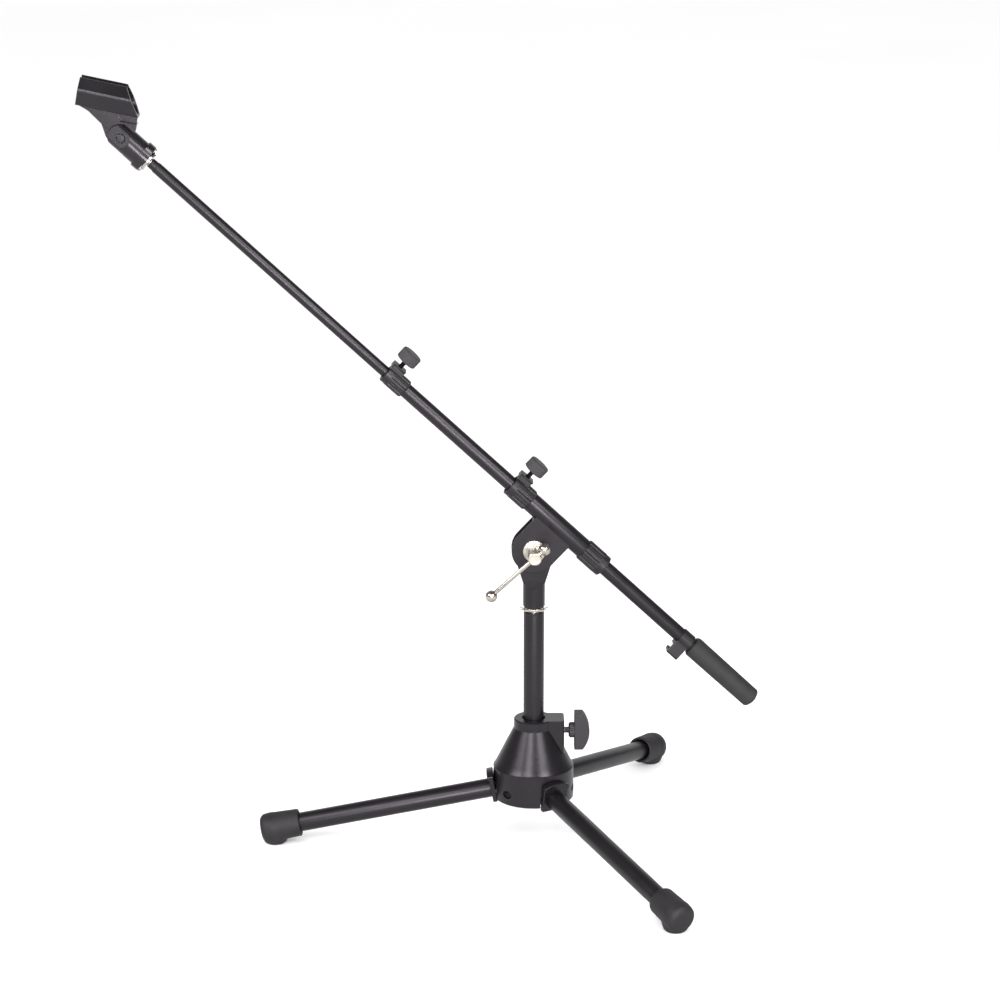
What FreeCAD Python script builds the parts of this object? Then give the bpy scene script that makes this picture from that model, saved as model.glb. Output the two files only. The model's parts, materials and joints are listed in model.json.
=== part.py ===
"""Low-level boom microphone stand, as a parametric FreeCAD document (millimetres).

The origin is where the column's axis meets the floor, with +Z up. The boom lies in
the XZ plane, its microphone end towards -X, and one leg points along -X below it.
Boom pieces are drawn along their own Z, which runs along the boom to the microphone,
with their X square to the boom on its upper side.
"""
import FreeCAD, Part
import math
import os

import Sketcher
from FreeCAD import Placement, Rotation, Vector

DIMENSIONS = (
    # Fits
    ("run_gap", 0.05, "radial clearance of a running fit"),
    # Hub casting
    ("hub_bottom", 54.0, "height of the hub's bottom face"),
    ("hub_radius", 43.5, "radius of the hub's lower cylinder"),
    ("hub_shoulder", 89.5, "height where the cylinder becomes a cone"),
    ("hub_neck", 133.0, "height where the cone becomes the top collar"),
    ("hub_top", 143.5, "height of the hub's top face"),
    ("hub_collar", 21.3, "radius of the top collar"),
    ("hub_bore", 12.6, "radius of the hub's bore"),
    ("boss_reach", 33.0, "distance of the side boss's face from the axis"),
    ("boss_width", 28.0, "width of the side boss"),
    ("boss_bottom", 100.0, "height where the side boss starts, inside the cone"),
    ("hub_wall", 4.2, "wall of the hub casting"),
    ("bore_wall", 4.2, "wall round the hub's bore"),
    ("heel_width", 26.0, "width of the solid block that holds each leg"),
    ("heel_top", 82.0, "height of those blocks"),
    # Clamping screw
    ("clamp_height", 129.0, "height of the clamping screw's axis"),
    ("clamp_radius", 3.5, "radius of the clamping screw's stud"),
    ("wing_start", 38.0, "distance of the wing's hub from the axis"),
    ("wing_hub_radius", 8.4, "radius of the wing's hub"),
    ("wing_face", 44.0, "distance of the wing's flat side from the axis"),
    ("wing_reach", 60.5, "distance of the wing's round side from the axis"),
    ("wing_height", 41.0, "height of the wing"),
    ("wing_thickness", 8.0, "thickness of the wing"),
    ("wing_end_width", 9.0, "width of the wing's flat ends"),
    # Column
    ("column_radius", 11.0, "outer radius of the column tube"),
    ("column_wall", 1.5, "wall of the column tube"),
    ("column_bottom", 58.0, "height of the column tube's lower end"),
    ("column_top", 262.0, "height of the column tube's upper end"),
    ("stud_radius", 7.94, "radius of the column's threaded stud"),
    ("stud_top", 290.0, "height of the stud's end"),
    ("nut_bottom", 264.9, "height of the column lock nut"),
    ("nut_ears", 29.8, "width over the ears of a lock nut"),
    ("nut_radius", 11.3, "radius of a lock nut's ring"),
    ("nut_height", 4.2, "height of a lock nut's ring"),
    ("ear_width", 9.0, "width of a lock nut's ear"),
    ("ear_thickness", 1.6, "thickness of a lock nut's ear"),
    # Legs
    ("pin_place", 29.0, "distance of a leg's pivot from the column's axis"),
    ("pin_height", 66.0, "height of the leg pivots"),
    ("pin_radius", 3.0, "radius of the leg pivot bolt"),
    ("bolt_head_radius", 4.2, "radius of that bolt's socket head"),
    ("bolt_head_start", 12.2, "distance of the head's seat from the leg's middle plane"),
    ("bolt_head_end", 18.0, "distance of the head's end from it"),
    ("leg_slope", 10.8, "slope of an open leg in degrees"),
    ("slot_width", 14.6, "width of the slots for the leg tongues"),
    ("tongue_width", 14.0, "width of a leg fitting's tongue"),
    ("tongue_radius", 9.0, "radius of the tongue about the pivot"),
    ("stop_radius", 11.6, "radius of the hub's underside about each pivot"),
    ("flange_start", 12.3, "distance of the flange from the pivot"),
    ("flange_thickness", 5.0, "thickness of the flange"),
    ("flange_width", 30.0, "width of the flange"),
    ("flange_drop", 12.5, "depth of the flange below the leg's axis"),
    ("flange_rise", 21.0, "height of the flange's arch above the leg's axis"),
    ("arch_radius", 30.0, "radius of the flange's arch"),
    ("leg_radius", 10.4, "outer radius of a leg tube"),
    ("leg_wall", 1.5, "wall of a leg tube"),
    ("leg_end", 266.0, "distance of the leg tube's end from the pivot"),
    ("cap_start", 229.5, "distance of the foot cap's mouth from the pivot"),
    ("cap_end", 271.8, "distance of the foot cap's end from the pivot"),
    ("cap_radius", 16.0, "largest radius of the foot cap"),
    ("pad_place", 282.0, "distance of the floor pad's middle from the column"),
    ("pad_radius", 12.3, "radius of the floor pad"),
    ("pad_height", 14.0, "height of the floor pad"),
    # Clutch
    ("pivot_height", 334.0, "height of the boom's pivot"),
    ("socket_bottom", 269.8, "height of the clutch socket's lower end"),
    ("socket_radius", 11.75, "outer radius of the clutch socket"),
    ("flat_start", 290.9, "height where the slanted flats start"),
    ("tongue_start", 299.8, "height where the socket's tongue starts"),
    ("head_radius", 22.0, "radius of the socket's tongue about the pivot"),
    ("head_thickness", 11.6, "thickness of the socket's tongue"),
    ("head_shoulder", 297.5, "height where the tongue widens from the sleeve"),
    ("tangent_reach", 21.0, "half width where the tongue's sides meet its arc"),
    ("tangent_drop", 6.5, "depth of that place below the pivot"),
    ("screw_radius", 5.0, "radius of the clutch screw's shank"),
    ("disc_radius", 19.0, "radius of the friction discs"),
    ("disc_thickness", 0.65, "thickness of a friction disc"),
    ("cheek_inside", 6.55, "distance of a cheek's inner face from the middle"),
    ("cheek_thickness", 2.2, "thickness of a cheek"),
    ("cheek_radius", 24.2, "radius of the cheeks about the pivot"),
    ("web_top", 10.8, "distance of the bracket's web from the boom's axis"),
    ("web_thickness", 2.2, "thickness of the bracket's web"),
    ("washer_radius", 12.25, "radius of the flanged washer"),
    ("screw_head_radius", 7.25, "radius of the clutch screw's head"),
    ("screw_head_end", 38.3, "distance of the head's end from the middle"),
    ("bar_place", 33.5, "distance of the tommy bar from the middle"),
    ("bar_radius", 2.25, "radius of the tommy bar"),
    ("bar_long", 62.1, "distance of the far ball from the screw's axis"),
    ("bar_short", 13.9, "distance of the near ball from the screw's axis"),
    ("ball_radius", 6.4, "radius of the ball ends"),
    ("bar_angle", 42.5, "slope of the tommy bar in degrees"),
    # Boom
    ("boom_angle", 42.9, "slope of the boom in degrees"),
    ("boom_offset", 36.0, "distance of the boom's axis from the pivot"),
    ("outer_radius", 10.75, "outer radius of the outer boom tube"),
    ("outer_wall", 1.2, "wall of the outer boom tube"),
    ("outer_front", 64.0, "front end of the outer tube, along the boom"),
    ("outer_rear", -62.0, "rear end of the outer tube"),
    ("middle_radius", 8.0, "outer radius of the middle tube"),
    ("middle_wall", 1.2, "wall of the middle tube"),
    ("middle_front", 243.0, "front end of the middle tube"),
    ("middle_rear", -284.0, "rear end of the middle tube"),
    ("thin_radius", 6.0, "outer radius of the thin tube"),
    ("thin_wall", 1.0, "wall of the thin tube"),
    ("thin_front", 567.0, "front end of the thin tube"),
    ("thin_rear", 150.0, "rear end of the thin tube"),
    ("front_collar_start", 39.5, "rear end of the front collar"),
    ("front_collar_end", 67.4, "front end of the front collar"),
    ("front_collar_radius", 12.4, "radius of the front collar"),
    ("front_screw", 59.6, "place of the front thumbscrew, along the boom"),
    ("rear_collar_start", -68.0, "rear end of the rear collar"),
    ("rear_collar_end", -38.5, "front end of the rear collar"),
    ("middle_collar_start", 219.2, "rear end of the middle collar"),
    ("middle_collar_end", 246.6, "front end of the middle collar"),
    ("middle_collar_radius", 10.5, "radius of the middle collar"),
    ("middle_screw", 239.6, "place of the middle thumbscrew, along the boom"),
    ("block_length", 15.0, "length of the block that holds the nut plate"),
    ("block_width", 14.0, "width of that block"),
    ("front_block_top", 16.2, "top of the front block above the boom's axis"),
    ("middle_block_top", 13.2, "top of the middle block above the boom's axis"),
    ("plate_thickness", 2.0, "thickness of a nut plate"),
    ("plate_lip", 5.6, "depth of the lip that a nut plate bends down in front of its block"),
    ("thumb_radius", 2.65, "radius of a thumbscrew's stud"),
    ("knob_radius", 11.5, "radius of a thumbscrew's knob"),
    ("knob_thickness", 12.8, "thickness of a thumbscrew's knob"),
    ("front_knob", 25.5, "distance of the front knob from the boom's axis"),
    ("middle_knob", 21.9, "distance of the middle knob from the boom's axis"),
    ("grip_front", -198.5, "front end of the rubber grip"),
    ("grip_rear", -287.0, "rear end of the rubber grip, before its dome"),
    ("grip_front_radius", 11.6, "radius of the grip near its front end"),
    ("grip_rear_radius", 11.0, "radius of the grip near its rear end"),
    ("grip_dome", 290.8, "distance of the grip's dome from the pivot's foot"),
    ("clip_rear", -195.8, "rear end of the cable clip"),
    ("clip_front", -181.6, "front end of the cable clip"),
    ("clip_drop", 22.4, "depth of the cable clip below the boom's axis"),
    ("clip_width", 13.0, "width of the cable clip's hook"),
    ("cord_way_drop", 15.6, "depth of the hook's round way for a cord below the boom's axis"),
    ("cord_way_radius", 4.0, "radius of that way"),
    ("cord_mouth", 6.0, "width of the hook's open side"),
    # Microphone end
    ("mic_stud_radius", 4.76, "radius of the threaded stud at the boom's end"),
    ("mic_neck_radius", 5.4, "radius of the neck under the lock nut"),
    ("mic_nut", 576.4, "place of the microphone lock nut"),
    ("base_start", 580.2, "place of the clip base's flange"),
    ("base_flange_end", 589.6, "front face of the clip base's flange"),
    ("base_flange_radius", 15.4, "radius of the clip base's flange"),
    ("base_radius", 13.5, "radius of the clip base"),
    ("clip_pivot", 614.5, "place of the microphone clip's pivot"),
    ("fork_radius", 14.0, "radius of the fork about the clip's pivot"),
    ("fork_width", 22.0, "width over the fork's cheeks"),
    ("fork_slot", 10.3, "width of the fork's slot"),
    ("fork_depth", 13.3, "depth of the slot behind the clip's pivot"),
    ("clip_tongue", 12.7, "radius of the clip's tongue"),
    ("clip_tongue_width", 10.0, "width of the clip's tongue"),
    ("clip_screw", 2.5, "radius of the clip's pivot screw"),
    ("clip_nod", 31.0, "how far the clip has to clear its base as it tilts down, in degrees"),
    ("shell_slope", 12.0, "slope of the clip's shell in degrees"),
    ("shell_middle", 39.2, "distance of the shell's axis above the pivot"),
    ("shell_rear", -53.3, "rear end of the shell, along its axis"),
    ("shell_top_end", -3.8, "front end of the shell's top edge"),
    ("shell_bottom_end", 14.5, "front end of the shell's bottom edge"),
    ("shell_bore", 13.0, "radius of the shell's bore"),
    ("shell_width", 34.4, "largest width of the shell"),
    ("shell_top", 15.3, "height of the shell's lips above its axis"),
    ("shell_lip", 9.0, "half width of the shell at its lips"),
    ("shell_opening", 15.0, "width of the opening between the lips"),
    ("shell_bottom", 14.7, "depth of the shell's floor below its axis"),
    ("shell_floor", 11.0, "half width of the shell's floor"),
)

LEG_AZIMUTHS = (180.0, 300.0, 60.0)
SIZE = {name: value for name, value, meaning in DIMENSIONS}

doc = FreeCAD.newDocument("boom_microphone_stand")
sheet = doc.addObject("Spreadsheet::Sheet", "Dimensions")
for row, (name, value, meaning) in enumerate(DIMENSIONS, start=1):
    sheet.set("A%d" % row, name)
    sheet.set("B%d" % row, repr(value))
    sheet.set("C%d" % row, meaning)
    sheet.setAlias("B%d" % row, name)
doc.recompute()

subparts = []


# ---------------------------------------------------------------- helpers
def bound(text):
    """Turns an expression in plain dimension names into one that reads the sheet."""
    words = []
    for word in text.replace("(", " ( ").replace(")", " ) ").split():
        words.append("Dimensions." + word if word in SIZE else word)
    return " ".join(words)


def number(text):
    """The value of an expression in plain dimension names."""
    value = 0.0
    sign = 1.0
    for word in text.split():
        if word in "+-":
            sign = -1.0 if word == "-" else 1.0
        else:
            value += sign * (SIZE[word] if word in SIZE else float(word))
            sign = 1.0
    return value


def bind(obj, **sizes):
    """Binds properties of an object to expressions in dimension names."""
    for name, text in sizes.items():
        obj.setExpression(name, bound(text))
    return obj


def keep(obj, label, place=None):
    """Makes an object a sub-part: gives it its label and its place."""
    obj.Label = label
    if place is not None:
        obj.Placement = place.multiply(obj.Placement)
    subparts.append(obj)
    return obj


def shift(x=0.0, y=0.0, z=0.0, axis=(0, 0, 1), angle=0.0):
    return Placement(Vector(x, y, z), Rotation(Vector(*axis), angle))


def cylinder(name, radius, height, place=None):
    obj = bind(doc.addObject("Part::Cylinder", name), Radius=radius, Height=height)
    obj.Placement = place or Placement()
    return obj


def box(name, length, width, height, place=None):
    obj = doc.addObject("Part::Box", name)
    bind(obj, Length=length, Width=width, Height=height)
    obj.Placement = place or Placement()
    return obj


def ball(name, radius, place):
    obj = bind(doc.addObject("Part::Sphere", name), Radius=radius)
    obj.Placement = place
    return obj


def fuse(name, *shapes):
    obj = doc.addObject("Part::MultiFuse", name)
    obj.Shapes = list(shapes)
    obj.Refine = True
    return obj


def common(name, *shapes):
    obj = doc.addObject("Part::MultiCommon", name)
    obj.Shapes = list(shapes)
    return obj


def cut(name, base, *tools):
    obj = doc.addObject("Part::Cut", name)
    obj.Base = base
    obj.Tool = tools[0] if len(tools) == 1 else fuse(name + "_tools", *tools)
    return obj


def plane_of(body, role):
    return [item for item in body.Origin.OriginFeatures if item.Role == role][0]


def outline_sketch(body, plane, points):
    """A closed outline through points given as pairs of expressions."""
    sketch = body.newObject("Sketcher::SketchObject", body.Name + "_outline")
    sketch.AttachmentSupport = [(plane_of(body, plane), "")]
    sketch.MapMode = "FlatFace"
    flat = [Vector(number(across), number(along), 0) for across, along in points]
    count = len(flat)
    for index in range(count):
        sketch.addGeometry(Part.LineSegment(flat[index], flat[(index + 1) % count]), False)
    for index in range(count):
        sketch.addConstraint(
            Sketcher.Constraint("Coincident", index, 2, (index + 1) % count, 1)
        )
    for index, (across, along) in enumerate(points):
        for kind, text, value in (
            ("DistanceX", across, flat[index].x),
            ("DistanceY", along, flat[index].y),
        ):
            place = sketch.addConstraint(Sketcher.Constraint(kind, -1, 1, index, 1, value))
            if any(word in SIZE for word in text.split()):
                sketch.setExpression("Constraints[%d]" % place, bound(text))
    return sketch


def turned(name, points):
    """A body of revolution about Z from an outline of (radius, height) expressions."""
    body = doc.addObject("PartDesign::Body", name)
    sketch = outline_sketch(body, "XZ_Plane", points)
    turn = body.newObject("PartDesign::Revolution", name + "_turn")
    turn.Profile = sketch
    turn.ReferenceAxis = (sketch, ["V_Axis"])
    turn.Angle = 360.0
    return body


def plate(name, plane, points, thickness):
    """A plate centred on one of its body's planes, with a polygon outline."""
    body = doc.addObject("PartDesign::Body", name)
    pad = body.newObject("PartDesign::Pad", name + "_pad")
    pad.Profile = outline_sketch(body, plane, points)
    pad.Midplane = True
    bind(pad, Length=thickness)
    return body


def ring(name, inner, outer, start, end):
    """A tube about Z between two radii and two heights."""
    return turned(name, [(inner, start), (outer, start), (outer, end), (inner, end)])


def rod(name, radius, start, end):
    return turned(name, [("0", start), (radius, start), (radius, end), ("0", end)])


ALONG_X = dict(axis=(0, 1, 0), angle=90.0)
ALONG_Y = dict(axis=(1, 0, 0), angle=-90.0)
ALONG_MINUS_Y = dict(axis=(1, 0, 0), angle=90.0)


def boom_frame():
    """The frame of the boom: Z to the microphone, X square to it, above."""
    slope = math.radians(SIZE["boom_angle"])
    foot = Vector(math.sin(slope), 0, math.cos(slope)) * SIZE["boom_offset"]
    turn = Rotation(Vector(0, 1, 0), SIZE["boom_angle"] - 90.0)
    return Placement(Vector(0, 0, SIZE["pivot_height"]) + foot, turn)


def leg_frame(azimuth):
    """The frame of an open leg: X outward along it, Y to the left, origin on the pivot."""
    turn = Rotation(Vector(0, 0, 1), azimuth)
    tilt = Rotation(Vector(0, 1, 0), SIZE["leg_slope"])
    base = turn.multVec(Vector(SIZE["pin_place"], 0, 0)) + Vector(0, 0, SIZE["pin_height"])
    return Placement(base, turn.multiply(tilt))


# ---------------------------------------------------------------- base
def make_hub():
    outside = turned("hub_turned", [
        ("hub_bore", "hub_bottom"),
        ("hub_radius - 1.0", "hub_bottom"),
        ("hub_radius", "hub_bottom + 1.0"),
        ("hub_radius", "hub_shoulder"),
        ("hub_radius - 1.2", "hub_shoulder + 1.2"),
        ("hub_collar", "hub_neck"),
        ("hub_collar", "hub_top - 1.0"),
        ("hub_collar - 1.0", "hub_top"),
        ("hub_bore", "hub_top"),
    ])
    boss = box("hub_boss", "boss_reach", "boss_width", "hub_top - boss_bottom",
               shift(0, -SIZE["boss_width"] / 2, SIZE["boss_bottom"]))
    rounded = doc.addObject("Part::Fillet", "hub_boss_rounded")
    rounded.Base = boss
    doc.recompute()
    corners = [
        index for index, edge in enumerate(boss.Shape.Edges, start=1)
        if abs(edge.CenterOfMass.x - SIZE["boss_reach"]) < 0.01
        and abs(abs(edge.CenterOfMass.y) - SIZE["boss_width"] / 2) < 0.01
    ]
    rounded.Edges = [(index, 4.0, 4.0) for index in corners]
    top_rim = [
        ("hub_bore", "hub_bottom - 1.0"),
        ("hub_bore", "hub_top + 1.0"),
        ("0", "hub_top + 1.0"),
        ("0", "hub_bottom - 1.0"),
    ]
    hollow = turned("hub_hollow", [
        ("hub_bore + bore_wall", "hub_bottom - 1.0"),
        ("hub_radius - hub_wall", "hub_bottom - 1.0"),
        ("hub_radius - hub_wall", "hub_shoulder - 1.0"),
        ("hub_bore + bore_wall + 2.0", "hub_neck - 7.0"),
        ("hub_bore + bore_wall", "hub_neck - 5.0"),
    ])
    shell = cut("hub_shell", fuse("hub_outside", outside, rounded), hollow)
    tools = [turned("hub_bore_tool", top_rim)]
    tools.append(cylinder("hub_screw_hole", "clamp_radius + run_gap", "boss_reach + 1.0",
                          shift(z=SIZE["clamp_height"], **ALONG_X)))
    blocks = []
    for azimuth in LEG_AZIMUTHS:
        tools += leg_seat_tools(azimuth)
        blocks.append(leg_block(azimuth))
    casting = cut("hub_casting", fuse("hub_solid", shell, *blocks), *tools)
    return keep(casting, "hub_casting")


def leg_block(azimuth):
    """The solid block inside the hub that a leg's bolt goes through."""
    half = SIZE["heel_width"] / 2
    start = SIZE["hub_bore"] + 1.0
    return box("leg_block_%d" % azimuth, "hub_radius - hub_bore - 3.4", "heel_width",
               "heel_top - hub_bottom",
               shift(axis=(0, 0, 1), angle=azimuth).multiply(shift(start, -half, SIZE["hub_bottom"])))


def leg_seat_tools(azimuth):
    """What a leg takes out of the hub: slot, rounded underside and bolt hole."""
    key = "%d" % azimuth
    turn = shift(axis=(0, 0, 1), angle=azimuth)
    slot_low = SIZE["hub_bottom"] - 10.0
    slot = box("slot_" + key, "hub_radius - 12.0", "slot_width", "pin_height - hub_bottom + 21.0",
               turn.multiply(shift(18.0, -SIZE["slot_width"] / 2, slot_low)))
    half = SIZE["flange_width"] / 2 + 0.6
    # A folded leg hangs upright, and its flange then lies under the hub as far in as this.
    heel_start = SIZE["pin_place"] - SIZE["flange_drop"] - 0.4
    block = box("heel_block_" + key, "hub_radius", "flange_width + 1.2", "pin_height - hub_bottom + 10.0",
                turn.multiply(shift(heel_start, -half, slot_low)))
    around = cylinder("heel_round_" + key, "stop_radius", "flange_width + 4.0",
                      turn.multiply(shift(SIZE["pin_place"], -half - 1.0, SIZE["pin_height"], **ALONG_Y)))
    heel = cut("heel_" + key, block, around)
    # The flat on the hub that the open leg's flange stands against.
    seat = box("flange_seat_" + key, "40.0", "flange_width + 1.2", "flange_rise + flange_drop + 12.0",
               leg_frame(azimuth).multiply(shift(SIZE["flange_start"] - 0.15, -half,
                                                 -SIZE["flange_drop"] - 10.0)))
    bolt = cylinder("bolt_hole_" + key, "pin_radius + 0.05", "27.0",
                    turn.multiply(shift(SIZE["pin_place"], -15.0, SIZE["pin_height"], **ALONG_Y)))
    head = cylinder("bolt_head_hole_" + key, "bolt_head_radius + 0.1", "30.0",
                    turn.multiply(shift(SIZE["pin_place"], SIZE["bolt_head_start"] - 0.2,
                                        SIZE["pin_height"], **ALONG_Y)))
    return [slot, heel, seat, bolt, head]


def make_bore_parts():
    bush = ring("bush_ring", "column_radius + run_gap", "hub_bore", "column_bottom", "hub_top - 2.5")
    pad_hole = cylinder("bush_hole", "clamp_radius + run_gap", "20.0",
                        shift(z=SIZE["clamp_height"], **ALONG_X))
    keep(cut("bush_cut", bush, pad_hole), "bore_bush")
    keep(rod("bore_cap", "hub_bore", "hub_bottom", "column_bottom - 0.1"), "bore_cap")
    pad = rod("clamp_pad", "clamp_radius - 0.05", "0", "1.6")
    keep(pad, "clamp_pad", shift(SIZE["column_radius"] + 0.4, 0, SIZE["clamp_height"], **ALONG_X))


def make_wing_screw():
    height = SIZE["clamp_height"]
    stud = rod("wing_stud", "clamp_radius", "column_radius + 2.2", "wing_face + 4.0")
    keep(stud, "wing_stud", shift(z=height, **ALONG_X))
    half = SIZE["wing_height"] / 2
    chord = SIZE["wing_reach"] - SIZE["wing_face"]
    # The round side is one arc between the far corners of the wing's flat ends.
    sagitta = chord - SIZE["wing_end_width"]
    radius = (half ** 2 + sagitta ** 2) / (2 * sagitta)
    disc = doc.addObject("Part::Cylinder", "wing_round")
    disc.Radius = radius
    bind(disc, Height="wing_thickness")
    disc.Placement = shift(SIZE["wing_reach"] - radius, -SIZE["wing_thickness"] / 2, height, **ALONG_Y)
    slab = box("wing_slab", "wing_reach - wing_face", "wing_thickness", "wing_height",
               shift(SIZE["wing_face"], -SIZE["wing_thickness"] / 2, height - half))
    wing = common("wing_plate", disc, slab)
    hub = rod("wing_hub", "wing_hub_radius", "wing_start", "wing_face + 1.0")
    hub.Placement = shift(z=height, **ALONG_X)
    hole = cylinder("wing_hole", "clamp_radius", "wing_face - wing_start + 4.0",
                    shift(SIZE["wing_start"], 0, height, **ALONG_X))
    keep(cut("wing_cut", fuse("wing_solid", wing, hub), hole), "wing_knob")


def make_legs():
    for index, azimuth in enumerate(LEG_AZIMUTHS, start=1):
        make_leg(index, azimuth)


def make_leg(index, azimuth):
    frame = leg_frame(azimuth)
    key = "%d" % index
    half_tongue = SIZE["tongue_width"] / 2
    start = SIZE["flange_start"]
    round_end = cylinder("tongue_round_" + key, "tongue_radius", "tongue_width",
                         shift(0, -half_tongue, 0, **ALONG_Y))
    neck = box("tongue_neck_" + key, "flange_start + 1.0", "tongue_width", "tongue_radius + tongue_radius",
               shift(0, -half_tongue, -SIZE["tongue_radius"]))
    slab = box("flange_slab_" + key, "flange_thickness", "flange_width", "flange_drop + flange_rise",
               shift(start, -SIZE["flange_width"] / 2, -SIZE["flange_drop"]))
    arch = cylinder("flange_arch_" + key, "arch_radius", "flange_thickness + 2.0",
                    shift(start - 1.0, 0, SIZE["flange_rise"] - SIZE["arch_radius"], **ALONG_X))
    flange = common("flange_" + key, slab, arch)
    face = start + SIZE["flange_thickness"]
    spigot = cylinder("spigot_" + key, "leg_radius - leg_wall - 0.05", "30.0",
                      shift(face - 1.0, 0, 0, **ALONG_X))
    hole = cylinder("tongue_hole_" + key, "pin_radius + run_gap", "tongue_width + 2.0",
                    shift(0, -half_tongue - 1.0, 0, **ALONG_Y))
    solid = fuse("fitting_solid_" + key, round_end, neck, flange, spigot)
    keep(cut("fitting_" + key, solid, hole), "leg_fitting_" + key, frame)
    tube = ring("leg_tube_ring_" + key, "leg_radius - leg_wall", "leg_radius",
                "flange_start + flange_thickness + 0.1", "leg_end")
    keep(tube, "leg_tube_" + key, frame.multiply(shift(**ALONG_X)))
    make_foot(key, azimuth, frame)
    make_leg_bolt(key, frame)


def make_leg_bolt(key, frame):
    """A socket-head bolt along the pivot, in the hub, level across the leg."""
    bolt = turned("leg_bolt_" + key, [
        ("0", "-14.8"),
        ("pin_radius", "-14.8"),
        ("pin_radius", "bolt_head_start"),
        ("bolt_head_radius", "bolt_head_start"),
        ("bolt_head_radius", "bolt_head_end"),
        ("2.0", "bolt_head_end"),
        ("2.0", "bolt_head_end - 3.0"),
        ("0", "bolt_head_end - 4.0"),
    ])
    keep(bolt, "leg_bolt_" + key, frame.multiply(shift(**ALONG_Y)))


def make_foot(key, azimuth, frame):
    shell = turned("cap_shell_" + key, [
        ("0", "cap_start"),
        ("cap_radius - 1.6", "cap_start"),
        ("cap_radius - 0.7", "cap_start + 1.0"),
        ("cap_radius", "cap_end - 14.0"),
        ("cap_radius - 0.8", "cap_end - 6.0"),
        ("cap_radius - 3.6", "cap_end - 2.0"),
        ("cap_radius - 8.5", "cap_end"),
        ("0", "cap_end"),
    ])
    shell.Placement = frame.multiply(shift(**ALONG_X))
    turn = shift(axis=(0, 0, 1), angle=azimuth)
    pad = turned("cap_pad_" + key, [
        ("0", "0"),
        ("pad_radius - 2.0", "0"),
        ("pad_radius - 0.6", "0.6"),
        ("pad_radius", "2.2"),
        ("pad_radius", "pad_height"),
        ("0", "pad_height"),
    ])
    pad.Placement = turn.multiply(shift(SIZE["pad_place"]))
    hollow = cylinder("cap_hollow_" + key, "leg_radius", "leg_end - cap_start + 1.0",
                      frame.multiply(shift(SIZE["cap_start"] - 1.0, 0, 0, **ALONG_X)))
    keep(cut("cap_cut_" + key, fuse("cap_solid_" + key, shell, pad), hollow), "foot_cap_" + key)


# ---------------------------------------------------------------- column
def make_column():
    keep(ring("column_ring", "column_radius - column_wall", "column_radius", "column_bottom", "column_top"),
         "column_tube")
    stud = turned("column_insert", [
        ("0", "column_top - 26.0"),
        ("column_radius - column_wall", "column_top - 26.0"),
        ("column_radius - column_wall", "column_top"),
        ("column_radius", "column_top"),
        ("column_radius", "column_top + 2.4"),
        ("stud_radius", "column_top + 2.4"),
        ("stud_radius", "stud_top - 1.0"),
        ("stud_radius - 1.0", "stud_top"),
        ("0", "stud_top"),
    ])
    keep(stud, "column_stud")


def lock_nut(name, bore, start, label, place=None):
    """A stamped nut: a thin ring with two ears that are bent away from the tube."""
    body = ring(name + "_ring", bore, "nut_radius", start, start + " + nut_height")
    ear_bottom = number(start) + SIZE["nut_height"] - SIZE["ear_thickness"]
    ears = box(name + "_ears", "nut_ears", "ear_width", "ear_thickness",
               shift(-SIZE["nut_ears"] / 2, -SIZE["ear_width"] / 2, ear_bottom))
    bore_tool = cylinder(name + "_tool", bore, "nut_height + 2.0", shift(z=number(start) - 1.0))
    solid = cut(name, fuse(name + "_solid", body, ears), bore_tool)
    return keep(solid, label, place)


# ---------------------------------------------------------------- clutch
def make_socket():
    tongue = plate("socket_tongue", "XZ_Plane", [
        ("-9.0", "stud_top + 3.5"),
        ("9.0", "stud_top + 3.5"),
        ("socket_radius", "head_shoulder"),
        ("tangent_reach", "pivot_height - tangent_drop"),
        ("0 - tangent_reach", "pivot_height - tangent_drop"),
        ("0 - socket_radius", "head_shoulder"),
    ], "head_thickness")
    head = cylinder("socket_head", "head_radius", "head_thickness",
                    shift(0, -SIZE["head_thickness"] / 2, SIZE["pivot_height"], **ALONG_Y))
    sleeve = turned("socket_sleeve", [
        ("0", "socket_bottom"),
        ("socket_radius - 1.2", "socket_bottom"),
        ("socket_radius", "socket_bottom + 1.6"),
        ("socket_radius", "tongue_start"),
        ("0", "tongue_start"),
    ])
    # Seen from the side, the sleeve's two flats slant in to the tongue's thickness.
    side = plate("socket_side", "YZ_Plane", [
        ("-15.0", "socket_bottom - 1.0"),
        ("15.0", "socket_bottom - 1.0"),
        ("15.0", "flat_start - 4.9"),
        ("head_thickness - 5.8", "tongue_start"),
        ("5.8 - head_thickness", "tongue_start"),
        ("-15.0", "flat_start - 4.9"),
    ], "60.0")
    solid = fuse("socket_solid", common("socket_flats", sleeve, side), tongue, head)
    bore = cylinder("socket_bore", "stud_radius + run_gap", "stud_top - socket_bottom + 2.0",
                    shift(z=SIZE["socket_bottom"] - 1.0))
    hole = cylinder("socket_hole", "screw_radius + run_gap", "head_thickness + head_thickness",
                    shift(0, -SIZE["head_thickness"], SIZE["pivot_height"], **ALONG_Y))
    keep(cut("socket_cut", solid, bore, hole), "clutch_socket")
    for side_name, start in (("front", "0 - 5.85 - disc_thickness"), ("rear", "5.85")):
        disc = ring("disc_" + side_name, "screw_radius + run_gap", "disc_radius",
                    start, start + " + disc_thickness")
        keep(disc, "friction_disc_" + side_name, shift(z=SIZE["pivot_height"], **ALONG_Y))


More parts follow.
